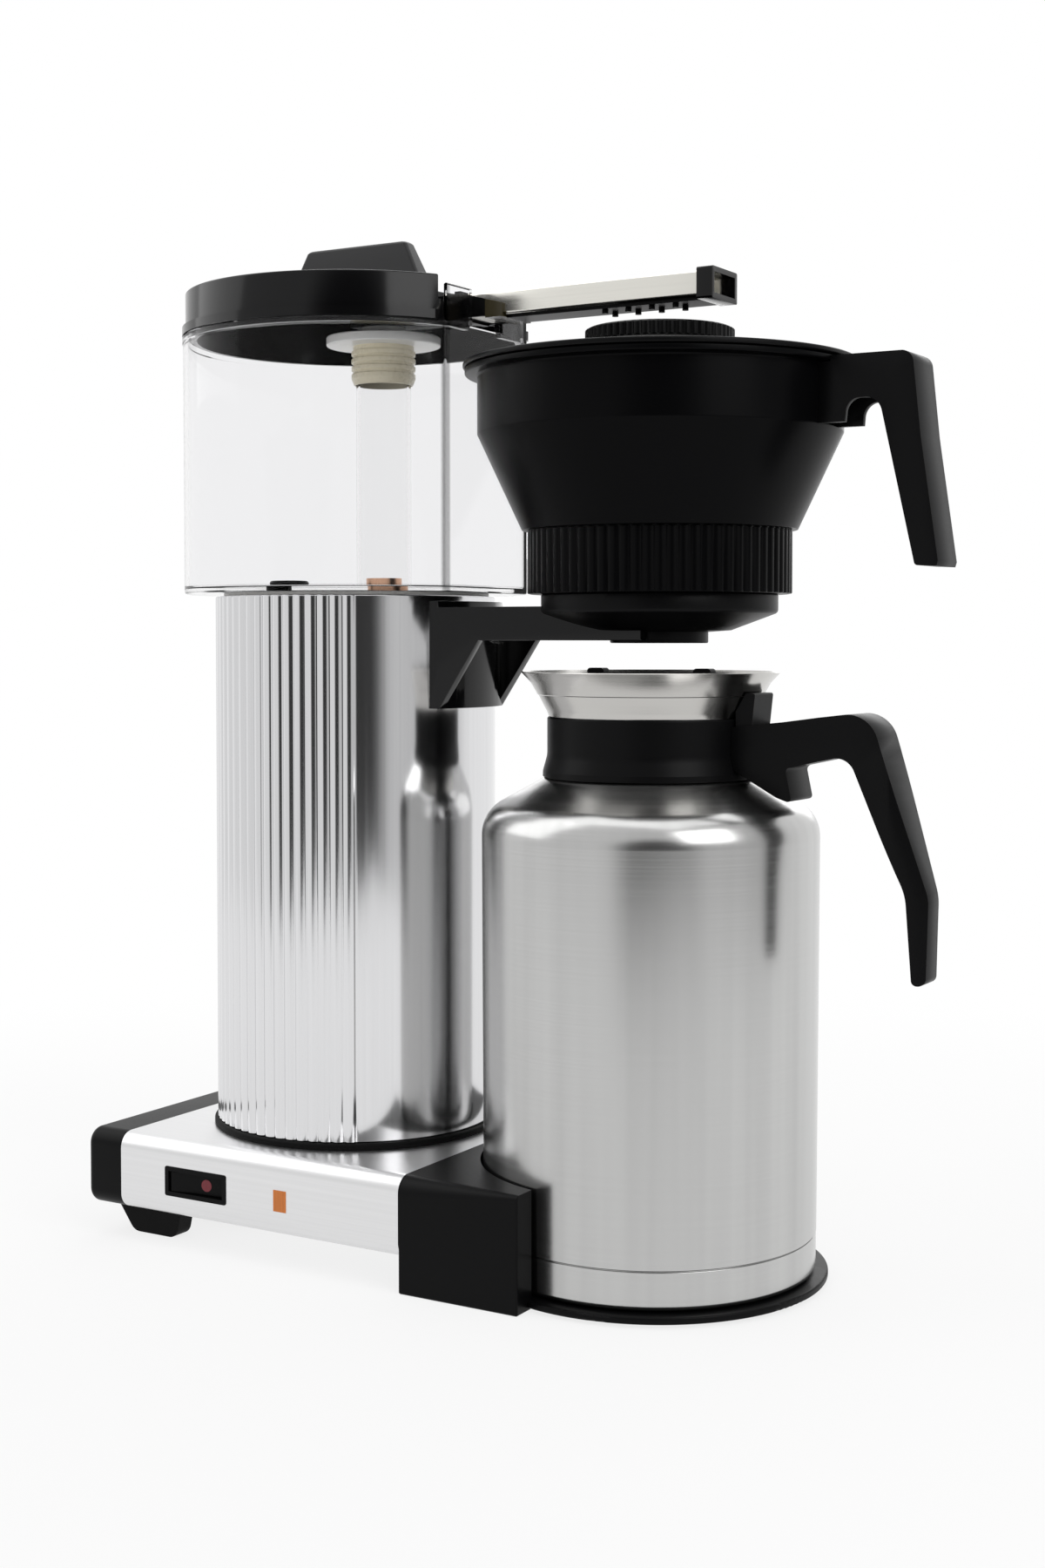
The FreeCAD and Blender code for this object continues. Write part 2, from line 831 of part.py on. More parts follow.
def make_thermal_fuse():
    """One-shot fuse against the boiler's back."""
    return post(riser_x - boiler_radius - fuse_radius, 0, fuse_bottom, fuse_bottom + fuse_length, fuse_radius)


def make_riser_tube():
    """Clear stand pipe from the tank's floor up to the coupling."""
    return sleeve(riser_x, 0, tank_bottom + tank_floor, riser_top, riser_radius, riser_radius - riser_wall)


# Tank and its lid

def make_tank():
    """Clear tank with a flat front that stands up as a fence, notched for the outlet arm."""
    front = tank_front
    shape = d_block(tank_radius, front, tank_bottom, tank_fence_top)
    corners = edges_where(shape, lambda p: near(p.x, tower_x + front))
    uprights = [e for e in corners if not near(e.firstVertex().Point.z, e.lastVertex().Point.z)]
    shape = shape.makeFillet(tank_corner_round, uprights)
    lip = d_block(tank_radius + tank_lip, front - tank_corner_round, tank_rim - tank_lip_height, tank_rim)
    shape = shape.fuse(lip).removeSplitter()
    floor = tank_bottom + tank_floor
    shape = shape.cut(d_block(tank_radius - tank_wall, front - tank_wall, floor, tank_fence_top + 1))
    wide = 2 * tank_radius
    fence_x = tower_x + front - tank_wall
    shape = shape.cut(box(tower_x - wide, fence_x, -wide, wide, tank_rim, tank_fence_top + 1))
    notch = tank_notch_half
    shape = shape.cut(box(fence_x - 1, tower_x + front + 1, -notch, notch, tank_rim, tank_fence_top + 1))
    shape = shape.cut(post(riser_x, 0, tank_bottom - 1, floor + 1, neck_radius))
    return shape.cut(post(outlet_x, outlet_y, tank_bottom - 1, floor + 1, spigot_radius))


def make_tank_lid():
    """Cup-shaped lid: plug inside the tank, flared foot, hollowed front over a ledge, slot for the arm."""
    front = tank_front - tank_wall - loose
    half = math.sqrt(lid_radius ** 2 - front ** 2) + lid_notch_overrun
    notch_radius = (half ** 2 + lid_notch ** 2) / (2 * lid_notch)
    notch_x = tower_x + front - lid_notch + notch_radius
    crown = d_block(lid_radius, front, lid_ledge, lid_top)
    crown = crown.cut(post(notch_x, 0, lid_ledge - 1, lid_top + 1, notch_radius))
    rim = [e for e in crown.Edges if near(e.CenterOfMass.z, lid_top)]
    crown = crown.makeFillet(lid_edge_round, rim)
    shape = crown.fuse(d_block(lid_radius, front, lid_bottom, lid_ledge))
    shape = shape.fuse(d_block(lid_flare_radius, front, lid_bottom, lid_flare_top))
    shape = shape.fuse(d_block(lid_plug_radius, front, lid_plug_bottom, lid_bottom)).removeSplitter()
    roof = lid_top - lid_wall
    hollow = d_block(lid_plug_radius - lid_wall, front - lid_wall, lid_plug_bottom - 1, roof)
    hollow = hollow.cut(post(notch_x, 0, lid_ledge - lid_wall, lid_top, notch_radius + lid_wall))
    slot = box(riser_x, tower_x + front + 1, -lid_slot_half, lid_slot_half, lid_plug_bottom - 1, roof)
    return shape.cut(hollow).cut(slot)


def make_lid_knob():
    """Tapered grip that stands along the middle of the lid."""
    middle = tower_x + knob_offset

    def rectangle(length, width, z):
        half_x = length / 2
        half_y = width / 2
        corners = [(-half_x, -half_y), (half_x, -half_y), (half_x, half_y), (-half_x, half_y)]
        points = [Vector(middle + x, y, z) for x, y in corners]
        return Part.makePolygon(points + points[:1])
    base = rectangle(knob_base_length, knob_base_width, lid_top)
    top = rectangle(knob_top_length, knob_top_width, knob_top)
    shape = Part.makeLoft([base, top], True, True)
    soft = [e for e in shape.Edges if e.CenterOfMass.z > lid_top + 1]
    return shape.makeFillet(knob_round, soft)


# Outlet arm, level from the riser out over the basket

def arm_block(start, end, half_width, half_height):
    """Level block along the arm, measured from the riser's axis."""
    low = arm_mid_z - half_height
    high = arm_mid_z + half_height
    return box(riser_x + start, riser_x + end, -half_width, half_width, low, high)


def make_outlet_tube():
    """Flat square steel tube with rounded long edges."""
    half = arm_half_width
    low = arm_mid_z - arm_half_height
    high = arm_mid_z + arm_half_height
    corners = [(y, z, arm_round) for y, z in ((-half, low), (half, low), (half, high), (-half, high))]
    shape = prism_x(corners, riser_x + arm_start, riser_x + arm_end)
    return shape.cut(arm_block(arm_start - 1, arm_end + 1, half - arm_wall, arm_half_height - arm_wall))


def cheek_plates(start, end, top_start, top_end):
    """Pair of side plates along the tube, their top edge sloping from one height to the other."""
    corners = [(riser_x + start, cheek_bottom, 0), (riser_x + end, cheek_bottom, 0),
               (riser_x + end, top_end, 0), (riser_x + start, top_start, 0)]
    return both_sides(prism_y(corners, arm_half_width, cheek_half_width))


def cheek_height(x):
    """Height of the cheeks' sloping top edge at a place along the arm."""
    share = (x - cheek_slope_start) / (cheek_end - cheek_slope_start)
    return cheek_top + share * (cheek_end_top - cheek_top)


def make_arm_root():
    """Moulded root of the arm: water way, spigot for the tube, flange and the cheeks beside the tube."""
    half = arm_half_width
    high = arm_half_height
    shape = arm_block(arm_back, arm_start, half - root_side_gap, high - root_top_gap)
    shape = shape.fuse(arm_block(arm_start, arm_start + spigot_length, half - arm_wall, high - arm_wall))
    shape = shape.fuse(arm_block(flange_start, flange_end, flange_half_width, flange_half_height))
    level = cheek_plates(flange_end, cheek_slope_start, cheek_top, cheek_top)
    sloped = cheek_plates(cheek_slope_start, cheek_joint, cheek_top, cheek_height(cheek_joint))
    for plate in level.Solids + sloped.Solids:
        shape = shape.fuse(plate)
    way = arm_block(arm_back + 3, arm_start + spigot_length + 1, half - 4, high - 2.5)
    down = post(riser_x, 0, arm_mid_z - 2 * high, arm_mid_z, hub_bore - 2)
    shape = shape.removeSplitter().cut(way).cut(down)
    return shape.cut(post(riser_x, 0, disc_top, hub_top, hub_radius))


def make_arm_sleeve():
    """Tinted saddle that carries the tube beyond the root: two cheeks joined under the tube."""
    x0 = riser_x + cheek_joint
    x1 = riser_x + cheek_end
    under = arm_mid_z - arm_half_height
    shape = box(x0, x1, -cheek_half_width, cheek_half_width, under - saddle_thickness, under)
    for plate in cheek_plates(cheek_joint, cheek_end, cheek_height(cheek_joint), cheek_end_top).Solids:
        shape = shape.fuse(plate)
    return shape.removeSplitter()


def make_arm_end_cap():
    """Open square cap on the tube's end."""
    half = arm_half_width + arm_cap_side
    high = arm_half_height + arm_cap_rise
    start = arm_end - 1
    outer = arm_block(start, start + arm_cap_length, half, high)
    long_edges = [e for e in outer.Edges if near(e.Length, arm_cap_length)]
    outer = outer.makeFillet(arm_cap_round, long_edges)
    outer = outer.cut(arm_block(start - 1, arm_end, arm_half_width, arm_half_height))
    return outer.cut(arm_block(start - 1, arm_end + arm_cap_length, half - arm_cap_wall, high - arm_cap_wall))


def make_outlet_strip():
    """Strip under the tube with two rows of drip nubs."""
    top = arm_mid_z - arm_half_height
    low = top - strip_thickness
    half = strip_half_width
    shape = box(riser_x + cheek_end, riser_x + arm_end - 1, -half, half, low, top)
    for k in range(nub_count):
        for side in (-nub_y, nub_y):
            x = riser_x + arm_end - nub_from_end - nub_pitch * k
            shape = shape.fuse(post(x, side, low - nub_length, low, nub_radius))
    return shape.removeSplitter()


def make_riser_coupling():
    """Ribbed collar that drops over the riser's top."""
    bore = riser_radius + loose
    valley = coupling_radius - coupling_rib_depth
    corners = [(bore, coupling_bottom, 0), (coupling_radius - 1.2, coupling_bottom, 0.8)]
    for k in range(coupling_ribs):
        low = coupling_bottom + coupling_foot + k * coupling_rib_pitch
        high = low + coupling_rib_land
        corners += [(coupling_radius, low, 0.5), (coupling_radius, high, 0.5)]
        corners += [(valley, high + 0.2, 0), (valley, low + coupling_rib_pitch - 0.2, 0)]
    corners += [(valley, coupling_top, 0), (bore, coupling_top, 0)]
    return turned(riser_x, corners)


def make_coupling_disc():
    """Pale disc that closes the coupling under the lid, with the hub that carries the arm's root."""
    corners = [(hub_bore, coupling_top, 0), (disc_radius, coupling_top, 0.8), (disc_radius, disc_top, 0.8),
               (hub_radius, disc_top, 0), (hub_radius, hub_top, 0), (hub_bore, hub_top, 0)]
    return turned(riser_x, corners)


# Basket bracket on the tower

def bracket_screw_lines():
    """Two screw shanks through the bracket's plate into the tower, as solids."""
    start = tower_x + tower_radius - 12
    end = start + bracket_screw_length
    sides = (-bracket_screw_y, bracket_screw_y)
    return [rod_x(start, end, side, rail_bottom + 1, bracket_screw_radius) for side in sides]


def make_basket_bracket():
    """Curved plate on the tower with two gussets and a pair of rails that carry the basket."""
    half = rail_outer
    skin = tower_radius - reed_depth
    face = skin + bracket_plate
    root_x = tower_x + bracket_root
    plate = sleeve(tower_x, 0, bracket_bottom, bracket_top, face, skin)
    shape = plate.common(box(tower_x, tower_x + face + 1, -half, half, bracket_bottom, bracket_top))
    trunk = post(tower_x, 0, bracket_bottom - 1, bracket_top + 1, skin)
    web_x = basket_x - housing_disc_radius - 3
    web = box(root_x, web_x, -rail_inner, rail_inner, rail_top - bracket_web, rail_top)
    shape = shape.fuse(web.cut(trunk))
    foot_x = tower_x + math.sqrt(face ** 2 - half ** 2)
    for side in (-1, 1):
        y0, y1 = sorted((side * rail_inner, side * rail_outer))
        rail = box(root_x, basket_x + rail_reach, y0, y1, rail_bottom, rail_top)
        gusset = [(root_x, bracket_bottom, 0), (foot_x, bracket_bottom, 0),
                  (foot_x + gusset_reach, rail_bottom, 0), (root_x, rail_bottom, 0)]
        shape = shape.fuse(rail.cut(trunk)).fuse(prism_y(gusset, y0, y1).cut(trunk))
    shape = shape.removeSplitter()
    for screw in bracket_screw_lines():
        shape = shape.cut(screw)
    return shape


def make_bracket_screws():
    """Two pan-head screws that hold the bracket to the tower."""
    skin = tower_radius - reed_depth + bracket_plate
    head_x = tower_x + math.sqrt(skin ** 2 - (bracket_screw_y - bracket_screw_head) ** 2)
    reach = box(tower_x, head_x, -rail_outer, rail_outer, 0, rail_top)
    screws = []
    for line, side in zip(bracket_screw_lines(), (-bracket_screw_y, bracket_screw_y)):
        head = rod_x(head_x, head_x + bracket_screw_head_height, side, rail_bottom + 1, bracket_screw_head)
        screws.append(head.fuse(line.common(reach)).removeSplitter())
    return Part.makeCompound(screws)


# Filter basket

def make_filter_basket():
    """Round filter holder: rim, straight top, cone and fluted foot, drilled for the coffee."""
    inner_foot = basket_foot_radius - basket_wall
    inner = basket_radius - basket_wall
    floor = basket_bottom + basket_floor
    valley = basket_foot_radius - flute_depth
    brim = basket_rim_radius - rim_ledge
    corners = [(basket_drain, basket_bottom, 0), (valley, basket_bottom, 0), (valley, basket_waist, 0),
               (basket_foot_radius + basket_waist_ledge, basket_waist, 0),
               (basket_radius, basket_shoulder, 1.5),
               (basket_radius, basket_rim - rim_depth, 0), (brim, basket_rim - rim_depth + 0.6, 0.8),
               (brim, basket_rim, 0.8), (inner, basket_rim, 0), (inner, basket_shoulder + 0.8, 0),
               (inner_foot, basket_waist + 0.5, 0), (inner_foot, floor, 1.5), (basket_drain, floor, 0)]
    shape = turned(basket_x, corners)
    flutes = lobed(basket_x, basket_bottom, basket_waist, basket_foot_radius, valley, basket_flutes, 0, 360)
    flutes = flutes.cut(post(basket_x, 0, basket_bottom, basket_waist, basket_foot_radius - 2 * flute_depth))
    return shape.fuse(flutes).removeSplitter()


def make_basket_base():
    """Drip housing under the basket, grooved to ride on the bracket's rails, with the open nozzle."""
    top = basket_bottom
    bore = nozzle_radius - nozzle_wall
    corners = [(bore, nozzle_bottom, 0.6), (nozzle_radius, nozzle_bottom, 0.6),
               (nozzle_radius, nozzle_top, 0), (nozzle_brim, nozzle_top + 0.7, 0),
               (housing_disc_radius, housing_disc_bottom, 2),
               (housing_disc_radius, top, 0.8), (basket_drain, top, 0), (basket_drain, top - 3, 0),
               (bore, top - 6, 1.5)]
    shape = turned(basket_x, corners)
    for side in (-1, 1):
        y0, y1 = sorted((side * (rail_inner - rail_gap), side * (rail_outer + rail_gap)))
        groove = box(basket_x - basket_radius, basket_x + rail_reach + 2, y0, y1,
                     nozzle_bottom - 1, rail_top + rail_gap)
        shape = shape.cut(groove)
    return shape


def make_basket_handle():
    """Channel-shaped handle, open towards the basket, arched under its arm."""
    half = handle_half_width
    wall = basket_handle_wall
    top = basket_rim - basket_handle_drop
    end = basket_handle_end
    arch = basket_handle_arch
    bend = basket_handle_bend
    root_x = basket_x + basket_radius - 12
    outer = [(root_x, top, 0), (tip_x - 10.8, top, 5), (tip_x - 7.3, bend, 60), (tip_x, end + 2, 0),
             (tip_x - 0.6, end, 0), (tip_x - 9.3, end + 0.4, 1.5), (tip_x - 24.3, arch, 7),
             (tip_x - 37.6, arch, 6), (tip_x - 38.4, basket_shoulder, 0), (root_x, basket_shoulder, 0)]
    channel = [(root_x - 5, top - wall, 0), (tip_x - 13.8, top - wall, 3), (tip_x - 10.1, bend, 60),
               (tip_x - wall, end + wall, 0), (tip_x - 34, end + wall, 0), (root_x - 5, end + 35, 0)]
    shape = prism_y(outer, -half, half)
    shape = shape.cut(prism_y(channel, -half + wall, half - wall))
    shape = shape.cut(post(basket_x, 0, end - 5, basket_rim, basket_radius))
    brim = basket_rim_radius - rim_ledge
    return shape.cut(post(basket_x, 0, basket_rim - rim_depth, basket_rim, brim))


def make_basket_lid():
    """Loose cover with a raised, knurled collar round the water inlet."""
    low = basket_rim + loose
    plate = cover_plate_z
    plate_upper = plate + cover_sheet
    skirt = basket_radius - basket_wall - 1
    inner_skirt = skirt - cover_skirt_wall
    inlet = collar_radius - collar_wall
    corners = [(inlet, plate + 0.5, 0), (collar_radius, plate, 0), (inner_skirt, low + 0.6, 0),
               (inner_skirt, low - cover_skirt, 0), (skirt, low - cover_skirt, 0), (skirt, low, 0),
               (basket_rim_radius, low, 0.7), (basket_rim_radius, low + 2.2, 0.9), (skirt, low + 2.6, 0),
               (collar_radius, plate_upper, 0), (inlet, plate_upper, 0)]
    knurl_low = plate + cover_sheet / 2
    valley = collar_radius - knurl_depth
    knurl = lobed(basket_x, knurl_low, collar_top, collar_radius, valley, collar_knurls, 0, 360)
    knurl = knurl.cut(post(basket_x, 0, basket_rim, collar_top + 1, inlet))
    return turned(basket_x, corners).fuse(knurl).removeSplitter()


# Thermal carafe

def make_carafe_shell():
    """Outer steel shell from the seam over the rounded shoulder into the neck."""
    r = carafe_radius
    t = shell_thickness
    neck = carafe_neck_radius - 2
    corners = [(r - t, carafe_seam, 0), (r, carafe_seam, 0),
               (carafe_top_radius, shoulder_edge, shoulder_round),
               (neck + 3, shoulder_top, 2), (neck, shoulder_top + 1, 0), (neck, carafe_neck_top, 0),
               (neck - t, carafe_neck_top, 0),
               (neck - t, shoulder_top - 0.4, 0),
               (carafe_top_radius - t, shoulder_edge - 0.8, shoulder_round - t)]
    return turned(carafe_x, corners)


def make_carafe_base_cup():
    """Shallow steel cup that closes the shell's foot below the seam."""
    r = carafe_radius
    t = shell_thickness
    hollow = carafe_bottom + cup_hollow
    lap = carafe_seam + cup_lap
    lap_inner = r - 2.5 * t
    corners = [(0, hollow, 0), (r - 14, hollow, 1), (r - 11, carafe_bottom, 1), (r - 0.2, carafe_bottom, 2.5),
               (r - 0.2, carafe_seam - seam_gap, 0.4), (r - t, carafe_seam - seam_gap, 0), (r - t, lap, 0),
               (lap_inner, lap, 0), (lap_inner, hollow + 1.5 * t, 2), (0, hollow + 1.5 * t, 0)]
    return turned(carafe_x, corners)


def make_carafe_flask():
    """Inner steel vessel with its own neck, clear of the shell all round."""
    r = carafe_radius - flask_gap
    neck = carafe_neck_radius - 4
    low = carafe_bottom + flask_raise
    t = shell_thickness
    corners = [(0, low, 0), (r, low, flask_round), (r, shoulder_edge - 4, shoulder_round),
               (neck, shoulder_top - 6, 3), (neck, carafe_neck_top, 0), (neck - t, carafe_neck_top, 0),
               (neck - t, shoulder_top - 6.5, 3), (r - t, shoulder_edge - 5, shoulder_round - t),
               (r - t, low + t, flask_round - t), (0, low + t, 0)]
    return turned(carafe_x, corners)


def collar_corners():
    """Section of the collar band, flared at its foot."""
    bore = carafe_neck_radius - 2
    top = carafe_neck_top - loose
    return [(bore, shoulder_top + 1, 0), (neck_band_foot, shoulder_top - 0.2, 0.4),
            (neck_band_foot - 0.1, shoulder_top + 2.5, 1), (neck_band_radius, shoulder_top + 9, 12),
            (neck_band_radius, top, 0.6), (bore, top, 0)]


def make_carafe_collar():
    """Moulded band round the neck, above the shoulder, drilled for the handle's screw."""
    shape = turned(carafe_x, collar_corners())
    start = carafe_x + carafe_neck_radius - 5
    return shape.cut(rod_x(start, carafe_x + collar_screw_reach, 0, collar_screw_z, collar_screw_radius))


def make_carafe_funnel():
    """Flared pouring rim of thin sheet, with a fine step part way up."""
    low = carafe_neck_top
    profile = [(funnel_foot_radius, low), (43.5, 237.4), (44.8, 239.8), (47.1, 244.3), (50.1, 249.1),
               (funnel_rim_radius, funnel_rim)]
    outer = Part.BSplineCurve()
    outer.interpolate([Vector(carafe_x + r, 0, z) for r, z in profile])
    inner = Part.BSplineCurve()
    inner.interpolate([Vector(carafe_x + r - funnel_sheet, 0, z) for r, z in profile])
    rim = Part.makeLine(outer.EndPoint, inner.EndPoint)
    root = Part.makeLine(inner.StartPoint, outer.StartPoint)
    edges = [outer.toShape(), rim, inner.toShape(), root]
    face = Part.Face(Part.Wire(Part.__sortEdges__(edges)))
    shape = face.revolve(Vector(carafe_x, 0, 0), Vector(0, 0, 1), 360)
    foot = sleeve(carafe_x, 0, low, low + funnel_foot, funnel_foot_radius, carafe_neck_radius - 5)
    return shape.fuse(foot).removeSplitter()


def make_carafe_handle():
    """Cranked handle from the collar, tapering in width to its tip, with a foot on the shoulder."""
    x = carafe_x
    half = handle_half_width
    corners = [(x + 40, 231.5, 0), (x + 65.4, 234.3, 0), (x + 80.3, 236.4, 0), (x + 101.6, handle_top, 13),
               (x + 124.3, 166.5, 20), (x + 123.4, handle_end, 3), (x + 118.2, handle_end, 2.2),
               (x + 115.7, 168, 25), (x + 92.6, 221.6, 8), (x + 80.4, 219, 0), (x + 66, 215.8, 2),
               (x + 69, 201.6, 1.5), (x + 62, 204, 0), (x + 40, 216, 0)]
    shape = prism_y(corners, -half, half)
    aside = half + 8
    low = handle_end - 10
    high = handle_top + 2
    waste = [(x + 90, 217, 0), (x + 130, 232, 0), (x + 130, low, 0), (x + 90, low, 0)]
    for side in (-1, 1):
        taper = [(x + 96, side * aside, 0), (x + 96, side * half, 0), (x + 109, side * half, 30),
                 (x + 124, side * handle_tip_half_width, 0), (x + 126, side * handle_tip_half_width, 0),
                 (x + 126, side * aside, 0)]
        shape = shape.cut(prism_z(taper, low, high).common(prism_y(waste, -aside, aside)))
    shape = shape.cut(post(x, 0, shoulder_edge, high, carafe_neck_radius))
    shape = shape.cut(turned(x, collar_corners())).cut(shoulder_cone())
    return shape.cut(rod_x(x + carafe_neck_radius - 5, x + collar_screw_reach + 2, 0, collar_screw_z,
                           collar_screw_radius))


def shoulder_cone():
    """Solid under the carafe's shoulder, for trimming what stands on it."""
    r = carafe_radius
    top = shoulder_top + 0.6
    corners = [(0, carafe_seam, 0), (r, carafe_seam, 0),
               (carafe_top_radius, shoulder_edge, shoulder_round),
               (carafe_neck_radius, top, 0), (0, top, 0)]
    return turned(carafe_x, corners)


def make_collar_screw():
    """Screw from the neck into the handle's root."""
    start = carafe_x + carafe_neck_radius - 2
    return rod_x(start, carafe_x + collar_screw_reach, 0, collar_screw_z, collar_screw_radius)


def make_funnel_clip():
    """Upright tab behind the funnel, above the handle's root."""
    x = carafe_x
    inner = neck_band_radius
    corners = [(x + inner, clip_bottom, 0), (x + 50.5, clip_bottom, 0), (x + 52, clip_top, 1),
               (x + inner, clip_top, 0)]
    shape = prism_y(corners, -clip_half_width, clip_half_width)
    flare = [(0, stopper_low, 0), (inner + 0.1, stopper_low, 0), (inner + 0.1, carafe_neck_top + 1.2, 0),
             (inner + 0.7, carafe_neck_top + 2.4, 0), (funnel_rim_radius - 0.6, funnel_rim, 0),
             (0, funnel_rim, 0)]
    return shape.cut(turned(x, flare)).cut(make_carafe_handle())


def make_brew_lid():
    """Dished stopper with a drip hole and two lugs to turn it by."""
    plug = stopper_radius
    low = stopper_low
    neck = carafe_neck_top
    seat = plug - seal_depth
    groove = (low + 3, low + 3 + seal_depth)
    corners = [(mixing_radius, low, 0), (plug - 2, low, 1), (plug - 2, groove[0], 0), (seat, groove[0], 0),
               (seat, groove[1], 0), (plug - 2, groove[1], 0), (plug - 2, neck + 1.6, 0), (40, neck + 2, 0),
               (42.4, neck + 6.6, 0), (43.6, neck + 10.6, 0.5), (41, neck + 10, 0), (38, neck + 5.6, 3),
               (mixing_radius, neck + 0.6, 0)]
    shape = turned(carafe_x, corners)
    lug_top = funnel_rim + lug_rise
    for side in (-1, 1):
        x0, x1 = sorted((carafe_x + side * lug_inner, carafe_x + side * lug_outer))
        lug = [(x0, neck + 0.6, 0), (x1, neck + 0.6, 0), (x1, lug_top, 1.5), (x0, lug_top, 1.5)]
        shape = shape.fuse(prism_y(lug, -lug_half_width, lug_half_width))
    return shape.removeSplitter()


def make_lid_seal():
    """Seal ring in the stopper's groove."""
    low = stopper_low + 3
    high = low + seal_depth
    seat = stopper_radius - seal_depth
    corners = [(seat, low, 0), (stopper_radius, low, 1.2), (stopper_radius, high, 1.2), (seat, high, 0)]
    return turned(carafe_x, corners)


def make_mixing_tube():
    """Tube that leads the coffee to the bottom of the flask."""
    top = carafe_neck_top + 0.6
    return sleeve(carafe_x, 0, mixing_bottom, top, mixing_radius, mixing_radius - mixing_wall)


NODES = {
    "base_profile": make_base_profile,
    "rear_end_cap": make_rear_end_cap,
    "cord_gland": make_cord_gland,
    "front_housing": make_front_housing,
    "carafe_plate": make_carafe_plate,
    "front_pads": make_front_pads,
    "rear_feet": make_rear_feet,
    "bottom_cover": make_bottom_cover,
    "cover_screws": make_cover_screws,
    "switch_bezel": make_switch_bezel,
    "switch_rocker": make_switch_rocker,
    "rocker_lens": make_rocker_lens,
    "switch_body": make_switch_body,
    "indicator_lens": make_indicator_lens,
    "indicator_lamp": make_indicator_lamp,
    "terminal_block": make_terminal_block,
    "tower_foot_ring": make_tower_foot_ring,
    "tower_shell": make_tower_shell,
    "tower_cap": make_tower_cap,
    "tank_gasket": make_tank_gasket,
    "tank_nut": make_tank_nut,
    "tank_strainer": make_tank_strainer,
    "feed_hose": make_feed_hose,
    "check_valve_body": make_check_valve_body,
    "check_ball": make_check_ball,
    "cross_tube": make_cross_tube,
    "boiler_tube": make_boiler_tube,
    "heater_rods": make_heater_rods,
    "boiler_straps": make_boiler_straps,
    "thermostat": make_thermostat,
    "thermal_fuse": make_thermal_fuse,
    "riser_tube": make_riser_tube,
    "tank": make_tank,
    "tank_lid": make_tank_lid,
    "lid_knob": make_lid_knob,
    "outlet_tube": make_outlet_tube,
    "arm_root": make_arm_root,
    "arm_sleeve": make_arm_sleeve,
    "arm_end_cap": make_arm_end_cap,
    "outlet_strip": make_outlet_strip,
    "riser_coupling": make_riser_coupling,
    "coupling_disc": make_coupling_disc,
    "basket_bracket": make_basket_bracket,
    "bracket_screws": make_bracket_screws,
    "filter_basket": make_filter_basket,
    "basket_base": make_basket_base,
    "basket_handle": make_basket_handle,
    "basket_lid": make_basket_lid,
    "carafe_shell": make_carafe_shell,
    "carafe_base_cup": make_carafe_base_cup,
    "carafe_flask": make_carafe_flask,
    "carafe_collar": make_carafe_collar,
    "carafe_funnel": make_carafe_funnel,
    "carafe_handle": make_carafe_handle,
    "collar_screw": make_collar_screw,
    "funnel_clip": make_funnel_clip,
    "brew_lid": make_brew_lid,
    "lid_seal": make_lid_seal,
    "mixing_tube": make_mixing_tube,
}

os.makedirs("parts", exist_ok=True)
for name, make in NODES.items():
    shape = make()
    shape.exportStep(f"parts/{name}.step")
    box_size = shape.BoundBox
    print(f"{name}: valid {shape.isValid()}, solids {len(shape.Solids)}, {shape.Volume / 1000:.2f} cm3, "
          f"x {box_size.XMin:.1f} to {box_size.XMax:.1f}, z {box_size.ZMin:.1f} to {box_size.ZMax:.1f}")
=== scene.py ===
"""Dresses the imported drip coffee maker: smooth surfaces, finishes, studio and camera."""
import json
import logging
import math
from collections.abc import Mapping, Sequence
from dataclasses import dataclass, field
from enum import Enum
from functools import cache
from typing import Any

import bmesh
import bpy
import numpy as np
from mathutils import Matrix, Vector


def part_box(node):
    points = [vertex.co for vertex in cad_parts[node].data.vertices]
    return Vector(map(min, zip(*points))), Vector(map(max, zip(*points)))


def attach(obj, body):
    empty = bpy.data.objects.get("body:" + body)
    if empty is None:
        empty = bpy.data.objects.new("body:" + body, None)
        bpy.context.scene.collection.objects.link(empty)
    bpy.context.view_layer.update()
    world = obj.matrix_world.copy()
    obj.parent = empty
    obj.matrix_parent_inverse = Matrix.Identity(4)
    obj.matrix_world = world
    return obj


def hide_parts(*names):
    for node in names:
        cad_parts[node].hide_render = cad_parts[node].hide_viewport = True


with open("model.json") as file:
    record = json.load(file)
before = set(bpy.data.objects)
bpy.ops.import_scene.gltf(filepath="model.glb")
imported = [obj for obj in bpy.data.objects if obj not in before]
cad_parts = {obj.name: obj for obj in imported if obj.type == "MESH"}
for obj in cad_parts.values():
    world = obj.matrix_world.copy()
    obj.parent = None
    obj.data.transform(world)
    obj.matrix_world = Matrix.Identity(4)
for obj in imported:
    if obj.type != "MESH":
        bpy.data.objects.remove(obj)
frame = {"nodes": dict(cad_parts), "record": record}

Array = np.ndarray
Corner = tuple[float, float, float]
Colour = tuple[float, float, float]

LOG = logging.getLogger("coffee_maker")
MM = 0.001
EASED_ANGLE = 50.0
WELD_REACH = 1e-6

# Waves for each metre along X, Y and Z of the patterns in the finishes.
# The first set of waves is for the painted reflections on the jug.
PAINTED_REFLECTION_BANDS = (70.0, 70.0, 1.5)
CLOUDS = (14.0, 14.0, 14.0)
HANDLING_MARKS = (22.0, 22.0, 22.0)
FLOW_MARKS = (9.0, 9.0, 3.0)


@dataclass(frozen=True)
class Extent:
    """Lowest and highest corner of a CAD node at rest, in millimetres."""

    low: Array
    high: Array

    @classmethod
    def of(cls, node: str) -> "Extent":
        """Reads the node's box from the frame."""
        low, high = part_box(node)
        return cls(np.array(low) / MM, np.array(high) / MM)

    @property
    def middle(self) -> Array:
        """Centre of the box."""
        return (self.low + self.high) / 2

    @property
    def half(self) -> Array:
        """Half of the box's size."""
        return (self.high - self.low) / 2


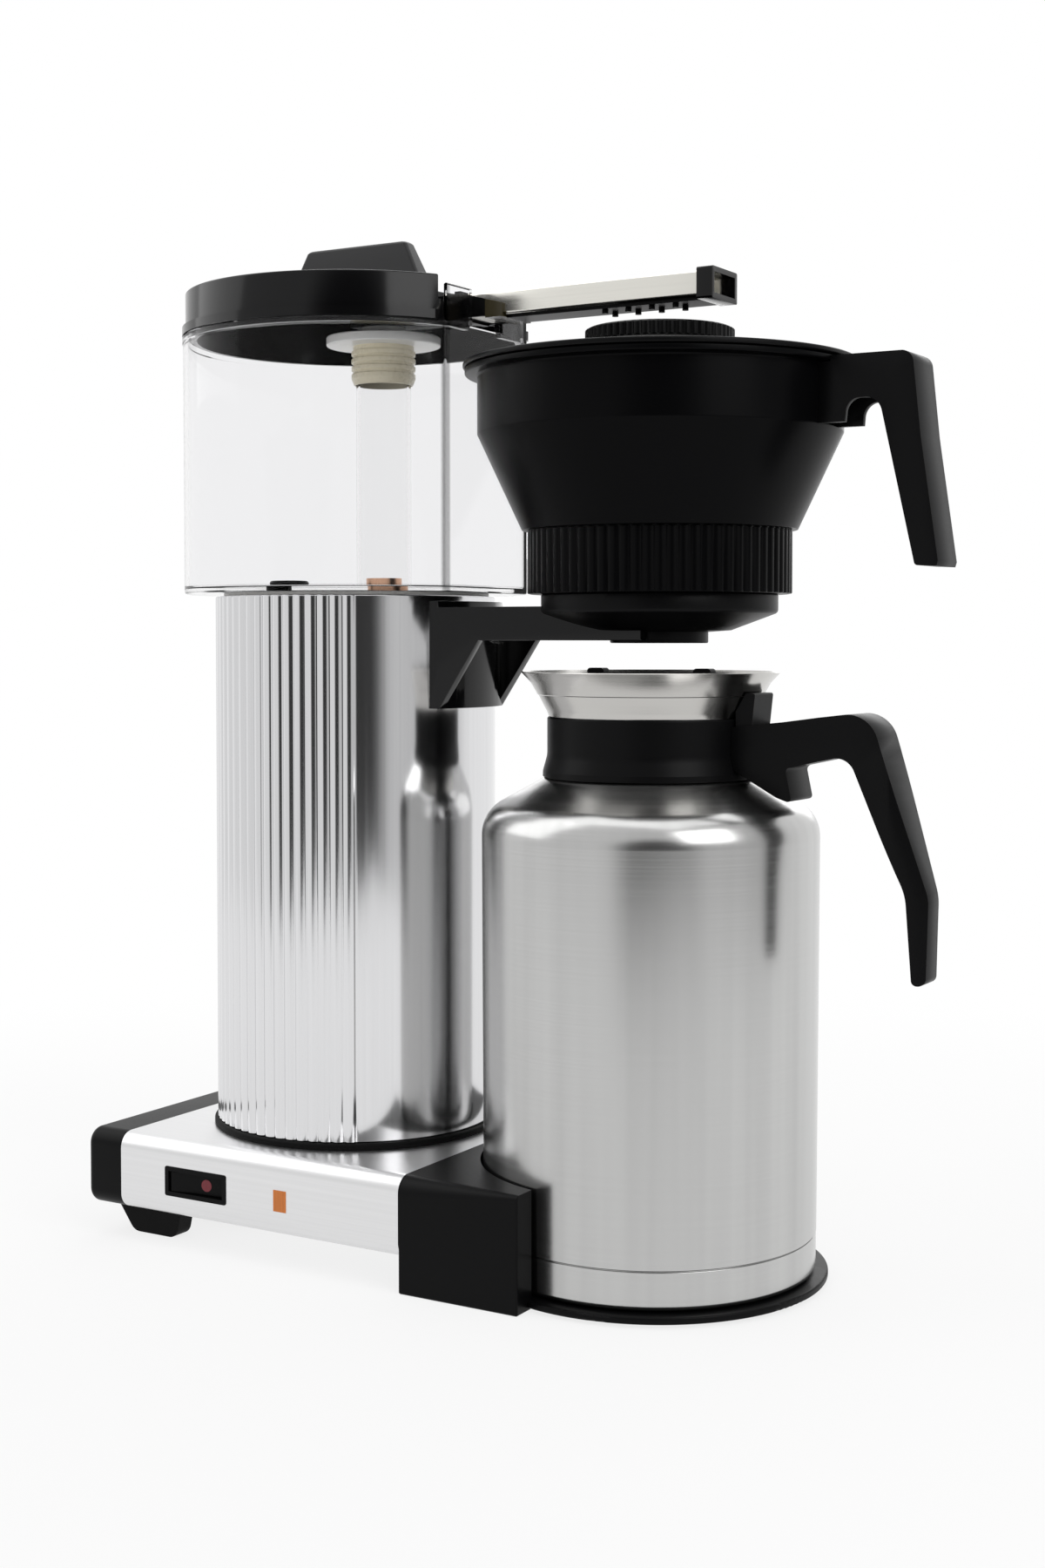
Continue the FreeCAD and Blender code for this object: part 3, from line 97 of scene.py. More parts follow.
def from_frame(node: str) -> Any:
    """Dataclass field that holds a CAD node's box."""
    return field(default_factory=lambda: Extent.of(node))


def rounded(corners: Sequence[Corner], steps: int = 6) -> Array:
    """Closed polyline through corners, each replaced by an arc that touches both of its sides.

    The arc's points are centre + radius * (cos t, sin t), with t running evenly from one touching point
    to the other.

    Args:
        corners: (u, v, radius) for each corner; radius 0 keeps it sharp.
        steps: pieces of each arc.

    Returns:
        (n, 2) points.
    """
    spots = np.array([c[:2] for c in corners], float)
    runs = []
    for i, (*_, radius) in enumerate(corners):
        if radius == 0:
            runs.append(spots[i:i + 1])
            continue
        back = spots[i - 1] - spots[i]
        ahead = spots[(i + 1) % len(corners)] - spots[i]
        back /= np.linalg.norm(back)
        ahead /= np.linalg.norm(ahead)
        half = math.acos(np.clip(back @ ahead, -1, 1)) / 2
        bisector = (back + ahead) / np.linalg.norm(back + ahead)
        centre = spots[i] + bisector * radius / math.sin(half)
        start = spots[i] + back * radius / math.tan(half) - centre
        end = spots[i] + ahead * radius / math.tan(half) - centre
        first = math.atan2(start[1], start[0])
        sweep = (math.atan2(end[1], end[0]) - first + math.pi) % (2 * math.pi) - math.pi
        turn = first + sweep * np.linspace(0, 1, steps + 1)
        runs.append(centre + radius * np.stack([np.cos(turn), np.sin(turn)], axis=1))
    return np.concatenate(runs)


def inset(outline: Array, distance: float | Array) -> Array:
    """Closed outline drawn in: every point slides along the mitre of the normals of its two sides.

    Args:
        outline: (n, 2) points, counter-clockwise.
        distance: how far in.

    Returns:
        (n, 2) points.
    """
    ahead = np.roll(outline, -1, axis=0) - outline
    normal = np.stack([ahead[:, 1], -ahead[:, 0]], axis=1)
    normal /= np.linalg.norm(normal, axis=1, keepdims=True)
    before = np.roll(normal, 1, axis=0)
    mitre = (normal + before) / (1 + np.sum(normal * before, axis=1, keepdims=True))
    return outline - np.asarray(distance) * mitre


def lobes(turn: Array, first: float, sweep: float, count: int) -> Array:
    """Height from 0 to 1 of a row of round ribs at each plan angle.

    Inside the sweep each rib is the parabola 1 - (2 t - 1)^2 over its own pitch, and outside it is 0.

    Args:
        turn: plan angles in radians, from first upwards.
        first: where the row starts, in radians.
        sweep: how far it runs, in radians.
        count: how many ribs.

    Returns:
        One height for each angle.
    """
    along = (turn - first) / sweep * count
    within = along - np.floor(along)
    height = 1 - (2 * within - 1) ** 2
    return np.where((along >= 0) & (along <= count), height, 0.0)


class Solid:
    """Closed surface collected from grids of points and flat caps, in millimetres."""

    def __init__(self) -> None:
        """Starts empty."""
        self.points: list[Array] = []
        self.faces: list[list[int]] = []
        self.count = 0

    def grid(self, points: Array, along: bool = False) -> Array:
        """Adds quads over a grid of points whose last column joins the first.

        Args:
            points: (rows, columns, 3) points.
            along: joins the last row to the first too.

        Returns:
            The (rows, columns) numbers of the points.
        """
        rows, columns = points.shape[:2]
        number = self.count + np.arange(rows * columns).reshape(rows, columns)
        wrapped = np.concatenate([number, number[:, :1]], axis=1)
        wrapped = np.concatenate([wrapped, wrapped[:1]], axis=0) if along else wrapped
        sides = [wrapped[:-1, :-1], wrapped[:-1, 1:], wrapped[1:, 1:], wrapped[1:, :-1]]
        self.faces += np.stack(sides, axis=-1).reshape(-1, 4).tolist()
        self.points.append(points.reshape(-1, 3))
        self.count += rows * columns
        return number

    def loft(self, rings: Sequence[Array]) -> "Solid":
        """Adds a closed form through rings of points, with a flat cap at each end."""
        number = self.grid(np.stack(rings))
        self.faces.append(number[0][::-1].tolist())
        self.faces.append(number[-1].tolist())
        return self

    def lathe(self, profile: Array, x: float, turns: int = 160,
              swell: Array | None = None, ribs: int = 1) -> "Solid":
        """Adds a closed profile turned about an upright axis.

        A point at radius r and height z goes to (x + q cos a, q sin a, z) for every plan angle a, where
        q = r + swell * rib height at a adds ribs where the profile asks for them.

        Args:
            profile: (n, 2) closed profile of radius and height.
            x: axis position.
            turns: points round the axis.
            swell: how far the ribs stand out at each profile point.
            ribs: how many there are round the axis.

        Returns:
            This solid.
        """
        turn = np.arange(turns) * 2 * math.pi / turns
        radius = np.repeat(profile[:, :1], turns, axis=1)
        if swell is not None:
            radius = radius + swell[:, None] * lobes(turn, 0.0, 2 * math.pi, ribs)[None, :]
        height = np.repeat(profile[:, 1:], turns, axis=1)
        self.grid(np.stack([x + radius * np.cos(turn), radius * np.sin(turn), height], axis=-1), along=True)
        return self

    def mesh(self, name: str, crease: float) -> bpy.types.Mesh:
        """Makes the Blender mesh, in metres, with doubles merged and faces outwards.

        Args:
            name: name of the mesh.
            crease: edges that turn more than this many degrees stay sharp.

        Returns:
            The mesh.
        """
        mesh = bpy.data.meshes.new(name)
        mesh.from_pydata((np.concatenate(self.points) * MM).tolist(), [], self.faces)
        work = bmesh.new()
        work.from_mesh(mesh)
        bmesh.ops.remove_doubles(work, verts=work.verts, dist=1e-7)
        bmesh.ops.dissolve_degenerate(work, edges=work.edges, dist=1e-8)
        bmesh.ops.recalc_face_normals(work, faces=work.faces)
        work.to_mesh(mesh)
        work.free()
        mesh.shade_smooth()
        mesh.set_sharp_from_angle(angle=math.radians(crease))
        return mesh


class Signal:
    """A shader socket that takes part in Python arithmetic; every operation adds a Math node."""

    def __init__(self, graph: "Graph", socket: bpy.types.NodeSocket) -> None:
        """Wraps an output socket of a graph."""
        self.graph = graph
        self.socket = socket

    def _math(self, operation: str, *values: "Signal | float") -> "Signal":
        """Adds a Math node over the values."""
        return self.graph.add("ShaderNodeMath", {"operation": operation}, dict(enumerate(values)))

    def __add__(self, other: "Signal | float") -> "Signal":
        """Sum."""
        return self._math("ADD", self, other)

    def __radd__(self, other: float) -> "Signal":
        """Sum with a number in front."""
        return self._math("ADD", other, self)

    def __sub__(self, other: "Signal | float") -> "Signal":
        """Difference."""
        return self._math("SUBTRACT", self, other)

    def __rsub__(self, other: float) -> "Signal":
        """Difference from a number in front."""
        return self._math("SUBTRACT", other, self)

    def __mul__(self, other: "Signal | float") -> "Signal":
        """Product."""
        return self._math("MULTIPLY", self, other)

    def __rmul__(self, other: float) -> "Signal":
        """Product with a number in front."""
        return self._math("MULTIPLY", other, self)

    def larger(self, other: "Signal | float") -> "Signal":
        """The larger of two values."""
        return self._math("MAXIMUM", self, other)

    def ramp(self, low: float, high: float, start: float = 0.0, end: float = 1.0) -> "Signal":
        """Smooth step from start to end as this value goes from low to high."""
        limits = {"From Min": low, "From Max": high, "To Min": start, "To Max": end, "Value": self}
        return self.graph.add("ShaderNodeMapRange", {"interpolation_type": "SMOOTHSTEP"}, limits)


class Graph:
    """Node tree that is filled by method calls."""

    def __init__(self, tree: bpy.types.NodeTree) -> None:
        """Takes a tree and empties it."""
        self.tree = tree
        self.tree.nodes.clear()

    def add(self, kind: str, settings: Mapping[str, Any], inputs: Mapping[Any, Any],
            output: str | int = 0) -> Signal:
        """Adds a node.

        Args:
            kind: Blender's name of the node type.
            settings: properties of the node, set first.
            inputs: values or signals of its sockets, by name or number.
            output: socket that is handed back.

        Returns:
            The output as a signal.
        """
        node = self.tree.nodes.new(kind)
        for name, value in settings.items():
            setattr(node, name, value)
        for name, value in inputs.items():
            if isinstance(value, Signal):
                self.tree.links.new(value.socket, node.inputs[name])
            else:
                node.inputs[name].default_value = value
        return Signal(self, node.outputs[output])

    def end(self, kind: str, inputs: Mapping[Any, Any]) -> None:
        """Adds the tree's output node."""
        node = self.tree.nodes.new(kind)
        for name, value in inputs.items():
            self.tree.links.new(value.socket, node.inputs[name])

    def place(self, stretch: Sequence[float]) -> Signal:
        """Object coordinates, stretched along each axis."""
        spot = self.add("ShaderNodeTexCoord", {}, {}, "Object")
        return self.add("ShaderNodeMapping", {}, {"Vector": spot, "Scale": tuple(stretch)})

    def noise(self, stretch: Sequence[float], detail: float = 2.0) -> Signal:
        """Smooth noise from 0 to 1, with about stretch waves for each metre along each axis."""
        inputs = {"Vector": self.place(stretch), "Scale": 1.0, "Detail": detail}
        return self.add("ShaderNodeTexNoise", {}, inputs)

    def blend(self, share: Signal, first: Colour, second: Colour) -> Signal:
        """Colour that goes from the first to the second with the share."""
        inputs = {0: share, 6: (*first, 1.0), 7: (*second, 1.0)}
        return self.add("ShaderNodeMix", {"data_type": "RGBA"}, inputs, 2)

    def bump(self, height: Signal, depth: float) -> Signal:
        """Normal that follows a height from 0 to 1, worth depth metres."""
        return self.add("ShaderNodeBump", {}, {"Height": height, "Distance": depth, "Strength": 1.0})


def shade(colour: Colour, factor: float) -> Colour:
    """The colour made lighter or darker."""
    return tuple(min(1.0, c * factor) for c in colour)


@dataclass(frozen=True)
class Metal:
    """Bare metal with fine drawn or brushed lines.

    Lines are noise that is dense across the grain and slow along it. They shift the roughness, the colour
    and the height of the surface a little. Painted reflections are broad upright bands of lighter or darker
    colour that stand in for the room mirrored in the metal.
    """

    colour: Colour
    roughness: float
    grain: tuple[float, float, float]
    spread: float = 0.1
    depth: float = 2e-6
    swing: float = 0.05
    painted_reflections: float = 0.0

    def fill(self, graph: Graph) -> Signal:
        """Adds the shader and returns its surface."""
        lines = graph.noise(self.grain, 3.0)
        cloud = graph.noise(CLOUDS)
        grain_and_painted_reflections = lines
        # Painted reflections: broad upright bands of lighter and darker colour in place of the mirrored room.
        if self.painted_reflections:
            grain_and_painted_reflections = (1 - self.painted_reflections) * lines + self.painted_reflections * graph.noise(PAINTED_REFLECTION_BANDS)
        darker, lighter = shade(self.colour, 1 - self.swing), shade(self.colour, 1 + self.swing)
        inputs = {
            "Base Color": graph.blend(grain_and_painted_reflections, darker, lighter),
            "Metallic": 1.0,
            "Roughness": self.roughness + self.spread * (lines - 0.5) + 0.3 * self.spread * (cloud - 0.5),
            "Normal": graph.bump(lines, self.depth),
        }
        return graph.add("ShaderNodeBsdfPrincipled", {}, inputs)


@dataclass(frozen=True)
class Moulding:
    """Opaque plastic or rubber with a fine pebbled skin and slight handling marks."""

    colour: Colour
    roughness: float
    pebble: float = 1400.0
    depth: float = 4e-6
    spread: float = 0.06
    gloss: float = 0.5
    swing: float = 0.12

    def fill(self, graph: Graph) -> Signal:
        """Adds the shader and returns its surface."""
        skin = graph.noise((self.pebble,) * 3, 1.0)
        marks = graph.noise(HANDLING_MARKS, 4.0)
        darker, lighter = shade(self.colour, 1 - self.swing), shade(self.colour, 1 + self.swing)
        inputs = {
            "Base Color": graph.blend(marks, darker, lighter),
            "Roughness": self.roughness + self.spread * (skin - 0.5) + self.spread * (marks - 0.5),
            "Specular IOR Level": self.gloss,
            "Normal": graph.bump(skin, self.depth),
        }
        return graph.add("ShaderNodeBsdfPrincipled", {}, inputs)


@dataclass(frozen=True)
class ClearMoulding:
    """Clear plastic: light passes through and bends, with faint flow marks in the gloss.

    Upright corners, at the same distance on both sides of the middle, get painted shade: the tint is darkened
    near them in place of the darker look of the thick wall seen edge on.
    """

    tint: Colour
    bend: float
    roughness: float = 0.02
    spread: float = 0.02
    flow_tone: float = 0.99
    corner: tuple[float, float] | None = None
    corner_painted_shade: float = 0.25
    painted_shade_reach: tuple[float, float] = (1.4, 3.4)

    def fill(self, graph: Graph) -> Signal:
        """Adds the shader and returns its surface."""
        flow = graph.noise(FLOW_MARKS)
        colour = graph.blend(flow, shade(self.tint, self.flow_tone), self.tint)
        # Painted shade: the tint darkens near the two upright corners.
        if self.corner:
            low, high = self.painted_shade_reach
            away = self.from_corner(graph).ramp(low * MM, high * MM)
            colour = graph.blend(away, shade(self.tint, self.corner_painted_shade), self.tint)
        inputs = {
            "Base Color": colour,
            "Roughness": self.roughness + self.spread * flow,
            "IOR": self.bend,
            "Transmission Weight": 1.0,
        }
        return graph.add("ShaderNodeBsdfPrincipled", {}, inputs)

    def from_corner(self, graph: Graph) -> Signal:
        """Plan distance in metres from the nearer of the two upright corners."""
        side, across = self.corner
        plan = graph.place((1.0, 1.0, 0.0))
        folded = graph.add("ShaderNodeVectorMath", {"operation": "ABSOLUTE"}, {0: plan})
        corner = (side * MM, across * MM, 0.0)
        gap = graph.add("ShaderNodeVectorMath", {"operation": "SUBTRACT"}, {0: folded, 1: corner})
        return graph.add("ShaderNodeVectorMath", {"operation": "LENGTH"}, {0: gap}, "Value")


@dataclass(frozen=True)
class Lens:
    """Coloured signal lens with a soft glow in its middle."""

    colour: Colour
    glow: Colour
    roughness: float = 0.18
    spread: float = 0.1
    ribs: tuple[float, float, float] = (900.0, 40.0, 40.0)
    depth: float = 2e-5
    strength: float = 0.6

    def fill(self, graph: Graph) -> Signal:
        """Adds the shader and returns its surface."""
        ribs = graph.noise(self.ribs)
        inputs = {
            "Base Color": graph.blend(ribs, shade(self.colour, 0.7), self.colour),
            "Roughness": self.roughness + self.spread * ribs,
            "Emission Color": graph.blend(ribs, shade(self.glow, 0.6), self.glow),
            "Emission Strength": self.strength,
            "Normal": graph.bump(ribs, self.depth),
        }
        return graph.add("ShaderNodeBsdfPrincipled", {}, inputs)


class Finish(Enum):
    """Every finish on the machine."""

    SATIN_ALUMINIUM = Metal((0.76, 0.76, 0.765), 0.30, (4.0, 900.0, 900.0), spread=0.08, depth=1.5e-6)
    BRIGHT_TOWER = Metal((0.72, 0.72, 0.73), 0.12, (700.0, 700.0, 3.0), spread=0.05, depth=1e-6)
    # The jug's wide swing and upright bands are painted reflections of the room, not a finish of the steel.
    BRUSHED_JUG = Metal((0.52, 0.52, 0.515), 0.24, (5.0, 5.0, 1500.0), spread=0.10, depth=1.5e-6,
                        swing=0.22, painted_reflections=0.8)
    BRUSHED_FUNNEL = Metal((0.54, 0.53, 0.51), 0.20, (6.0, 6.0, 1500.0), spread=0.08, depth=1.5e-6)
    ARM_STEEL = Metal((0.80, 0.785, 0.73), 0.22, (6.0, 900.0, 900.0), spread=0.08, depth=1e-6)
    SCREW_STEEL = Metal((0.75, 0.75, 0.75), 0.20, (300.0, 300.0, 300.0), depth=1e-6)
    COPPER = Metal((0.72, 0.43, 0.29), 0.30, (500.0, 500.0, 5.0), spread=0.15)
    HEATER_STEEL = Metal((0.32, 0.31, 0.30), 0.50, (400.0, 400.0, 10.0), spread=0.2)
    SATIN_BLACK = Moulding((0.003, 0.003, 0.0033), 0.36, gloss=0.09)
    SMOOTH_BLACK = Moulding((0.002, 0.002, 0.0023), 0.30, pebble=900.0, depth=2e-6, spread=0.04, gloss=0.05)
    GLOSS_BLACK = Moulding((0.003, 0.003, 0.0034), 0.14, pebble=500.0, depth=8e-7, spread=0.03, gloss=0.24)
    DARK_GRIP = Moulding((0.016, 0.016, 0.017), 0.42, pebble=1800.0, depth=6e-6, gloss=0.35)
    BLACK_RUBBER = Moulding((0.004, 0.004, 0.004), 0.60, pebble=1500.0, depth=1e-5, gloss=0.10)
    IVORY = Moulding((0.72, 0.66, 0.50), 0.28, pebble=600.0, depth=2e-6)
    WHITE = Moulding((0.84, 0.84, 0.82), 0.30, pebble=600.0, depth=2e-6)
    OLIVE = Moulding((0.050, 0.042, 0.022), 0.22, pebble=500.0, depth=2e-6, gloss=0.3)
    PALE_INSULATOR = Moulding((0.70, 0.68, 0.62), 0.45)
    SILICONE = Moulding((0.66, 0.65, 0.63), 0.45, pebble=700.0, depth=3e-6)
    # The tank's upright corners carry painted shade.
    CLEAR_TANK = ClearMoulding((0.93, 0.93, 0.935), 1.16, corner=(23.5, 33.1))
    CLEAR_TUBE = ClearMoulding((0.965, 0.965, 0.965), 1.06, roughness=0.05)
    RED_LENS = Lens((0.16, 0.008, 0.015), (0.07, 0.0, 0.006))
    AMBER_LENS = Lens((0.50, 0.15, 0.02), (0.36, 0.09, 0.008))

    @cache
    def material(self) -> bpy.types.Material:
        """Builds the material once and hands it out."""
        material = bpy.data.materials.new(self.name.lower())
        material.use_nodes = True
        graph = Graph(material.node_tree)
        graph.end("ShaderNodeOutputMaterial", {"Surface": self.value.fill(graph)})
        return material


BODY_OF = {node: body for body, nodes in frame["record"]["behaviour"]["bodies"].items() for node in nodes}


def dress(node: str, finish: Finish, crease: float = 28.0, bevel: float = 0.0) -> None:
    """Gives a CAD node its finish, with smooth shading between faces that turn little.

    Args:
        node: CAD node, which keeps its points.
        finish: its finish.
        crease: edges that turn more than this many degrees stay sharp.
        bevel: width of the eased edges, in millimetres, or none.
    """
    piece = frame["nodes"][node]
    mesh = piece.data
    if "custom_normal" in mesh.attributes:
        mesh.attributes.remove(mesh.attributes["custom_normal"])
    mesh.shade_smooth()
    weld = piece.modifiers.new("Weld", "WELD")
    weld.merge_threshold = WELD_REACH
    if bevel:
        ease = piece.modifiers.new("Eased edges", "BEVEL")
        ease.width = bevel * MM
        ease.segments = 2
        ease.angle_limit = math.radians(EASED_ANGLE)
    split = piece.modifiers.new("Creases", "EDGE_SPLIT")
    split.split_angle = math.radians(crease)
    mesh.materials.clear()
    mesh.materials.append(finish.material())
    LOG.info("dressed %s", node)


def show(name: str, solid: Solid, finish: Finish, *nodes: str, crease: float = 32.0) -> None:
    """Makes a piece that stands for CAD nodes.

    Args:
        name: name of the piece.
        solid: its surface.
        finish: its finish.
        nodes: CAD nodes that it stands for; it rides on the first one's body.
        crease: edges that turn more than this many degrees stay sharp.
    """
    piece = bpy.data.objects.new(name, solid.mesh(name, crease))
    bpy.context.scene.collection.objects.link(piece)
    piece.data.materials.append(finish.material())
    weigh = piece.modifiers.new("Flat faces", "WEIGHTED_NORMAL")
    weigh.keep_sharp = True
    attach(piece, BODY_OF[nodes[0]])
    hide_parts(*nodes)
    LOG.info("built %s, %d faces", name, len(piece.data.polygons))


@dataclass
class Base:
    """Aluminium base with its black ends, feet, switch and lamp."""

    housing: Extent = from_frame("front_housing")
    jug: Extent = from_frame("carafe_shell")
    pocket: float = 71.5
    pocket_points: int = 90
    foot_ease: float = 0.5
    rear_round: float = 8.0
    front_round: float = 2.0
    edge: float = 0.8

    def build(self) -> None:
        """Makes the pieces of the base."""
        self.build_housing()
        self.dress_nodes()

    def build_housing(self) -> None:
        """Front moulding: its plan outline raised in levels that draw in at the long top edges.

        At turn t of the top round, of radius R that runs from the rear round to the front round along X, the
        level lies at height top - R (1 - sin t), and no point is further out than half width - R (1 - cos t).
        """
        low, high = self.housing.low, self.housing.high
        radius = self.pocket
        centre = self.jug.middle[0]
        half = high[1]
        reach = math.acos((high[0] - centre) / radius)
        turn = np.linspace(2 * math.pi - reach, reach, self.pocket_points)
        pocket = np.stack([centre + radius * np.cos(turn), radius * np.sin(turn)], axis=1)
        mouth = radius * math.sin(reach)
        sides = [(high[0], mouth, 0), (high[0], half, self.edge), (low[0], half, self.edge),
                 (low[0], -half, self.edge), (high[0], -half, self.edge), (high[0], -mouth, 0)]
        outline = np.concatenate([rounded(sides, steps=4), pocket[1:-1]])
        share = (outline[:, 0] - low[0]) / (high[0] - low[0])
        top_round = self.rear_round + (self.front_round - self.rear_round) * share
        ease = self.foot_ease
        rings = [np.column_stack([inset(outline, ease), np.full(len(outline), low[2])]),
                 np.column_stack([outline, np.full(len(outline), low[2] + ease)])]
        for t in np.linspace(0, math.pi / 2, 9):
            limit = half - top_round * (1 - math.cos(t))
            y = np.clip(outline[:, 1], -limit, limit)
            rings.append(np.column_stack([outline[:, 0], y, high[2] - top_round * (1 - math.sin(t))]))
        show("front_moulding", Solid().loft(rings), Finish.SATIN_BLACK, "front_housing")

    def dress_nodes(self) -> None:
        """Finishes of the pieces that keep their CAD shape."""
        dress("base_profile", Finish.SATIN_ALUMINIUM)
        dress("bottom_cover", Finish.SATIN_ALUMINIUM)
        for node in ("rear_end_cap", "carafe_plate", "switch_bezel", "switch_rocker", "switch_body"):
            dress(node, Finish.SATIN_BLACK)
        for node in ("cord_gland", "front_pads", "rear_feet"):
            dress(node, Finish.BLACK_RUBBER)
        dress("cover_screws", Finish.SCREW_STEEL)
        dress("rocker_lens", Finish.RED_LENS)
        dress("indicator_lens", Finish.AMBER_LENS)
        dress("indicator_lamp", Finish.RED_LENS)
        dress("terminal_block", Finish.PALE_INSULATOR)


@dataclass
class Tower:
    """Reeded tower with the heater and water way inside it."""

    shell: Extent = from_frame("tower_shell")
    ring: Extent = from_frame("tower_foot_ring")
    cap: Extent = from_frame("tower_cap")
    reeds: int = 50
    reed_depth: float = 1.0
    reed_points: int = 10
    reed_start: float = 55.4
    front_points: int = 120
    edge: float = 0.5

    def build(self) -> None:
        """Makes the pieces of the tower."""
        self.build_shell()
        self.build_ring()
        self.dress_nodes()

    def build_shell(self) -> None:
        """Tube whose outside radius is valley + depth * rib height at each plan angle."""
        x = self.cap.middle[0]
        crest = self.shell.half[1]
        first = math.radians(self.reed_start)
        sweep = 2 * math.pi - 2 * first
        behind = first + sweep * np.arange(self.reeds * self.reed_points) / (self.reeds * self.reed_points)
        ahead = first + sweep + 2 * first * np.arange(self.front_points) / self.front_points
        turn = np.concatenate([behind, ahead])
        radius = crest - self.reed_depth + self.reed_depth * lobes(turn, first, sweep, self.reeds)
        bore = self.cap.half[0]
        low, high = self.shell.low[2], self.shell.high[2]

        def ring(reach: float | Array, z: float) -> Array:
            """Ring of points at a radius for each angle."""
            return np.column_stack([x + reach * np.cos(turn), reach * np.sin(turn), np.full(len(turn), z)])

        drawn_in = radius - self.edge
        levels = [ring(drawn_in, low), ring(radius, low + self.edge), ring(radius, high - self.edge),
                  ring(drawn_in, high), ring(bore, high), ring(bore, low)]
        solid = Solid()
        solid.grid(np.stack(levels), along=True)
        show("reeded_tube", solid, Finish.BRIGHT_TOWER, "tower_shell", crease=50.0)

    def build_ring(self) -> None:
        """Seal ring: a rectangle with rounded outer corners, turned about the tower's axis."""
        low, high = self.ring.low[2], self.ring.high[2]
        outer = self.ring.half[0]
        bore = self.cap.half[0]
        profile = rounded([(bore, low, 0), (outer, low, 0.5), (outer, high, 1.0), (bore, high, 0)])
        show("foot_seal", Solid().lathe(profile, self.cap.middle[0]), Finish.BLACK_RUBBER, "tower_foot_ring")

    def dress_nodes(self) -> None:
        """Finishes of the pieces inside the tower."""
        for node in ("boiler_tube", "cross_tube"):
            dress(node, Finish.COPPER)
        for node in ("tank_nut", "boiler_straps", "thermal_fuse"):
            dress(node, Finish.SCREW_STEEL)
        for node in ("tank_gasket", "feed_hose", "check_ball"):
            dress(node, Finish.SILICONE)
        for node in ("check_valve_body", "thermostat"):
            dress(node, Finish.PALE_INSULATOR)
        dress("heater_rods", Finish.HEATER_STEEL)
        dress("tower_cap", Finish.SATIN_BLACK)


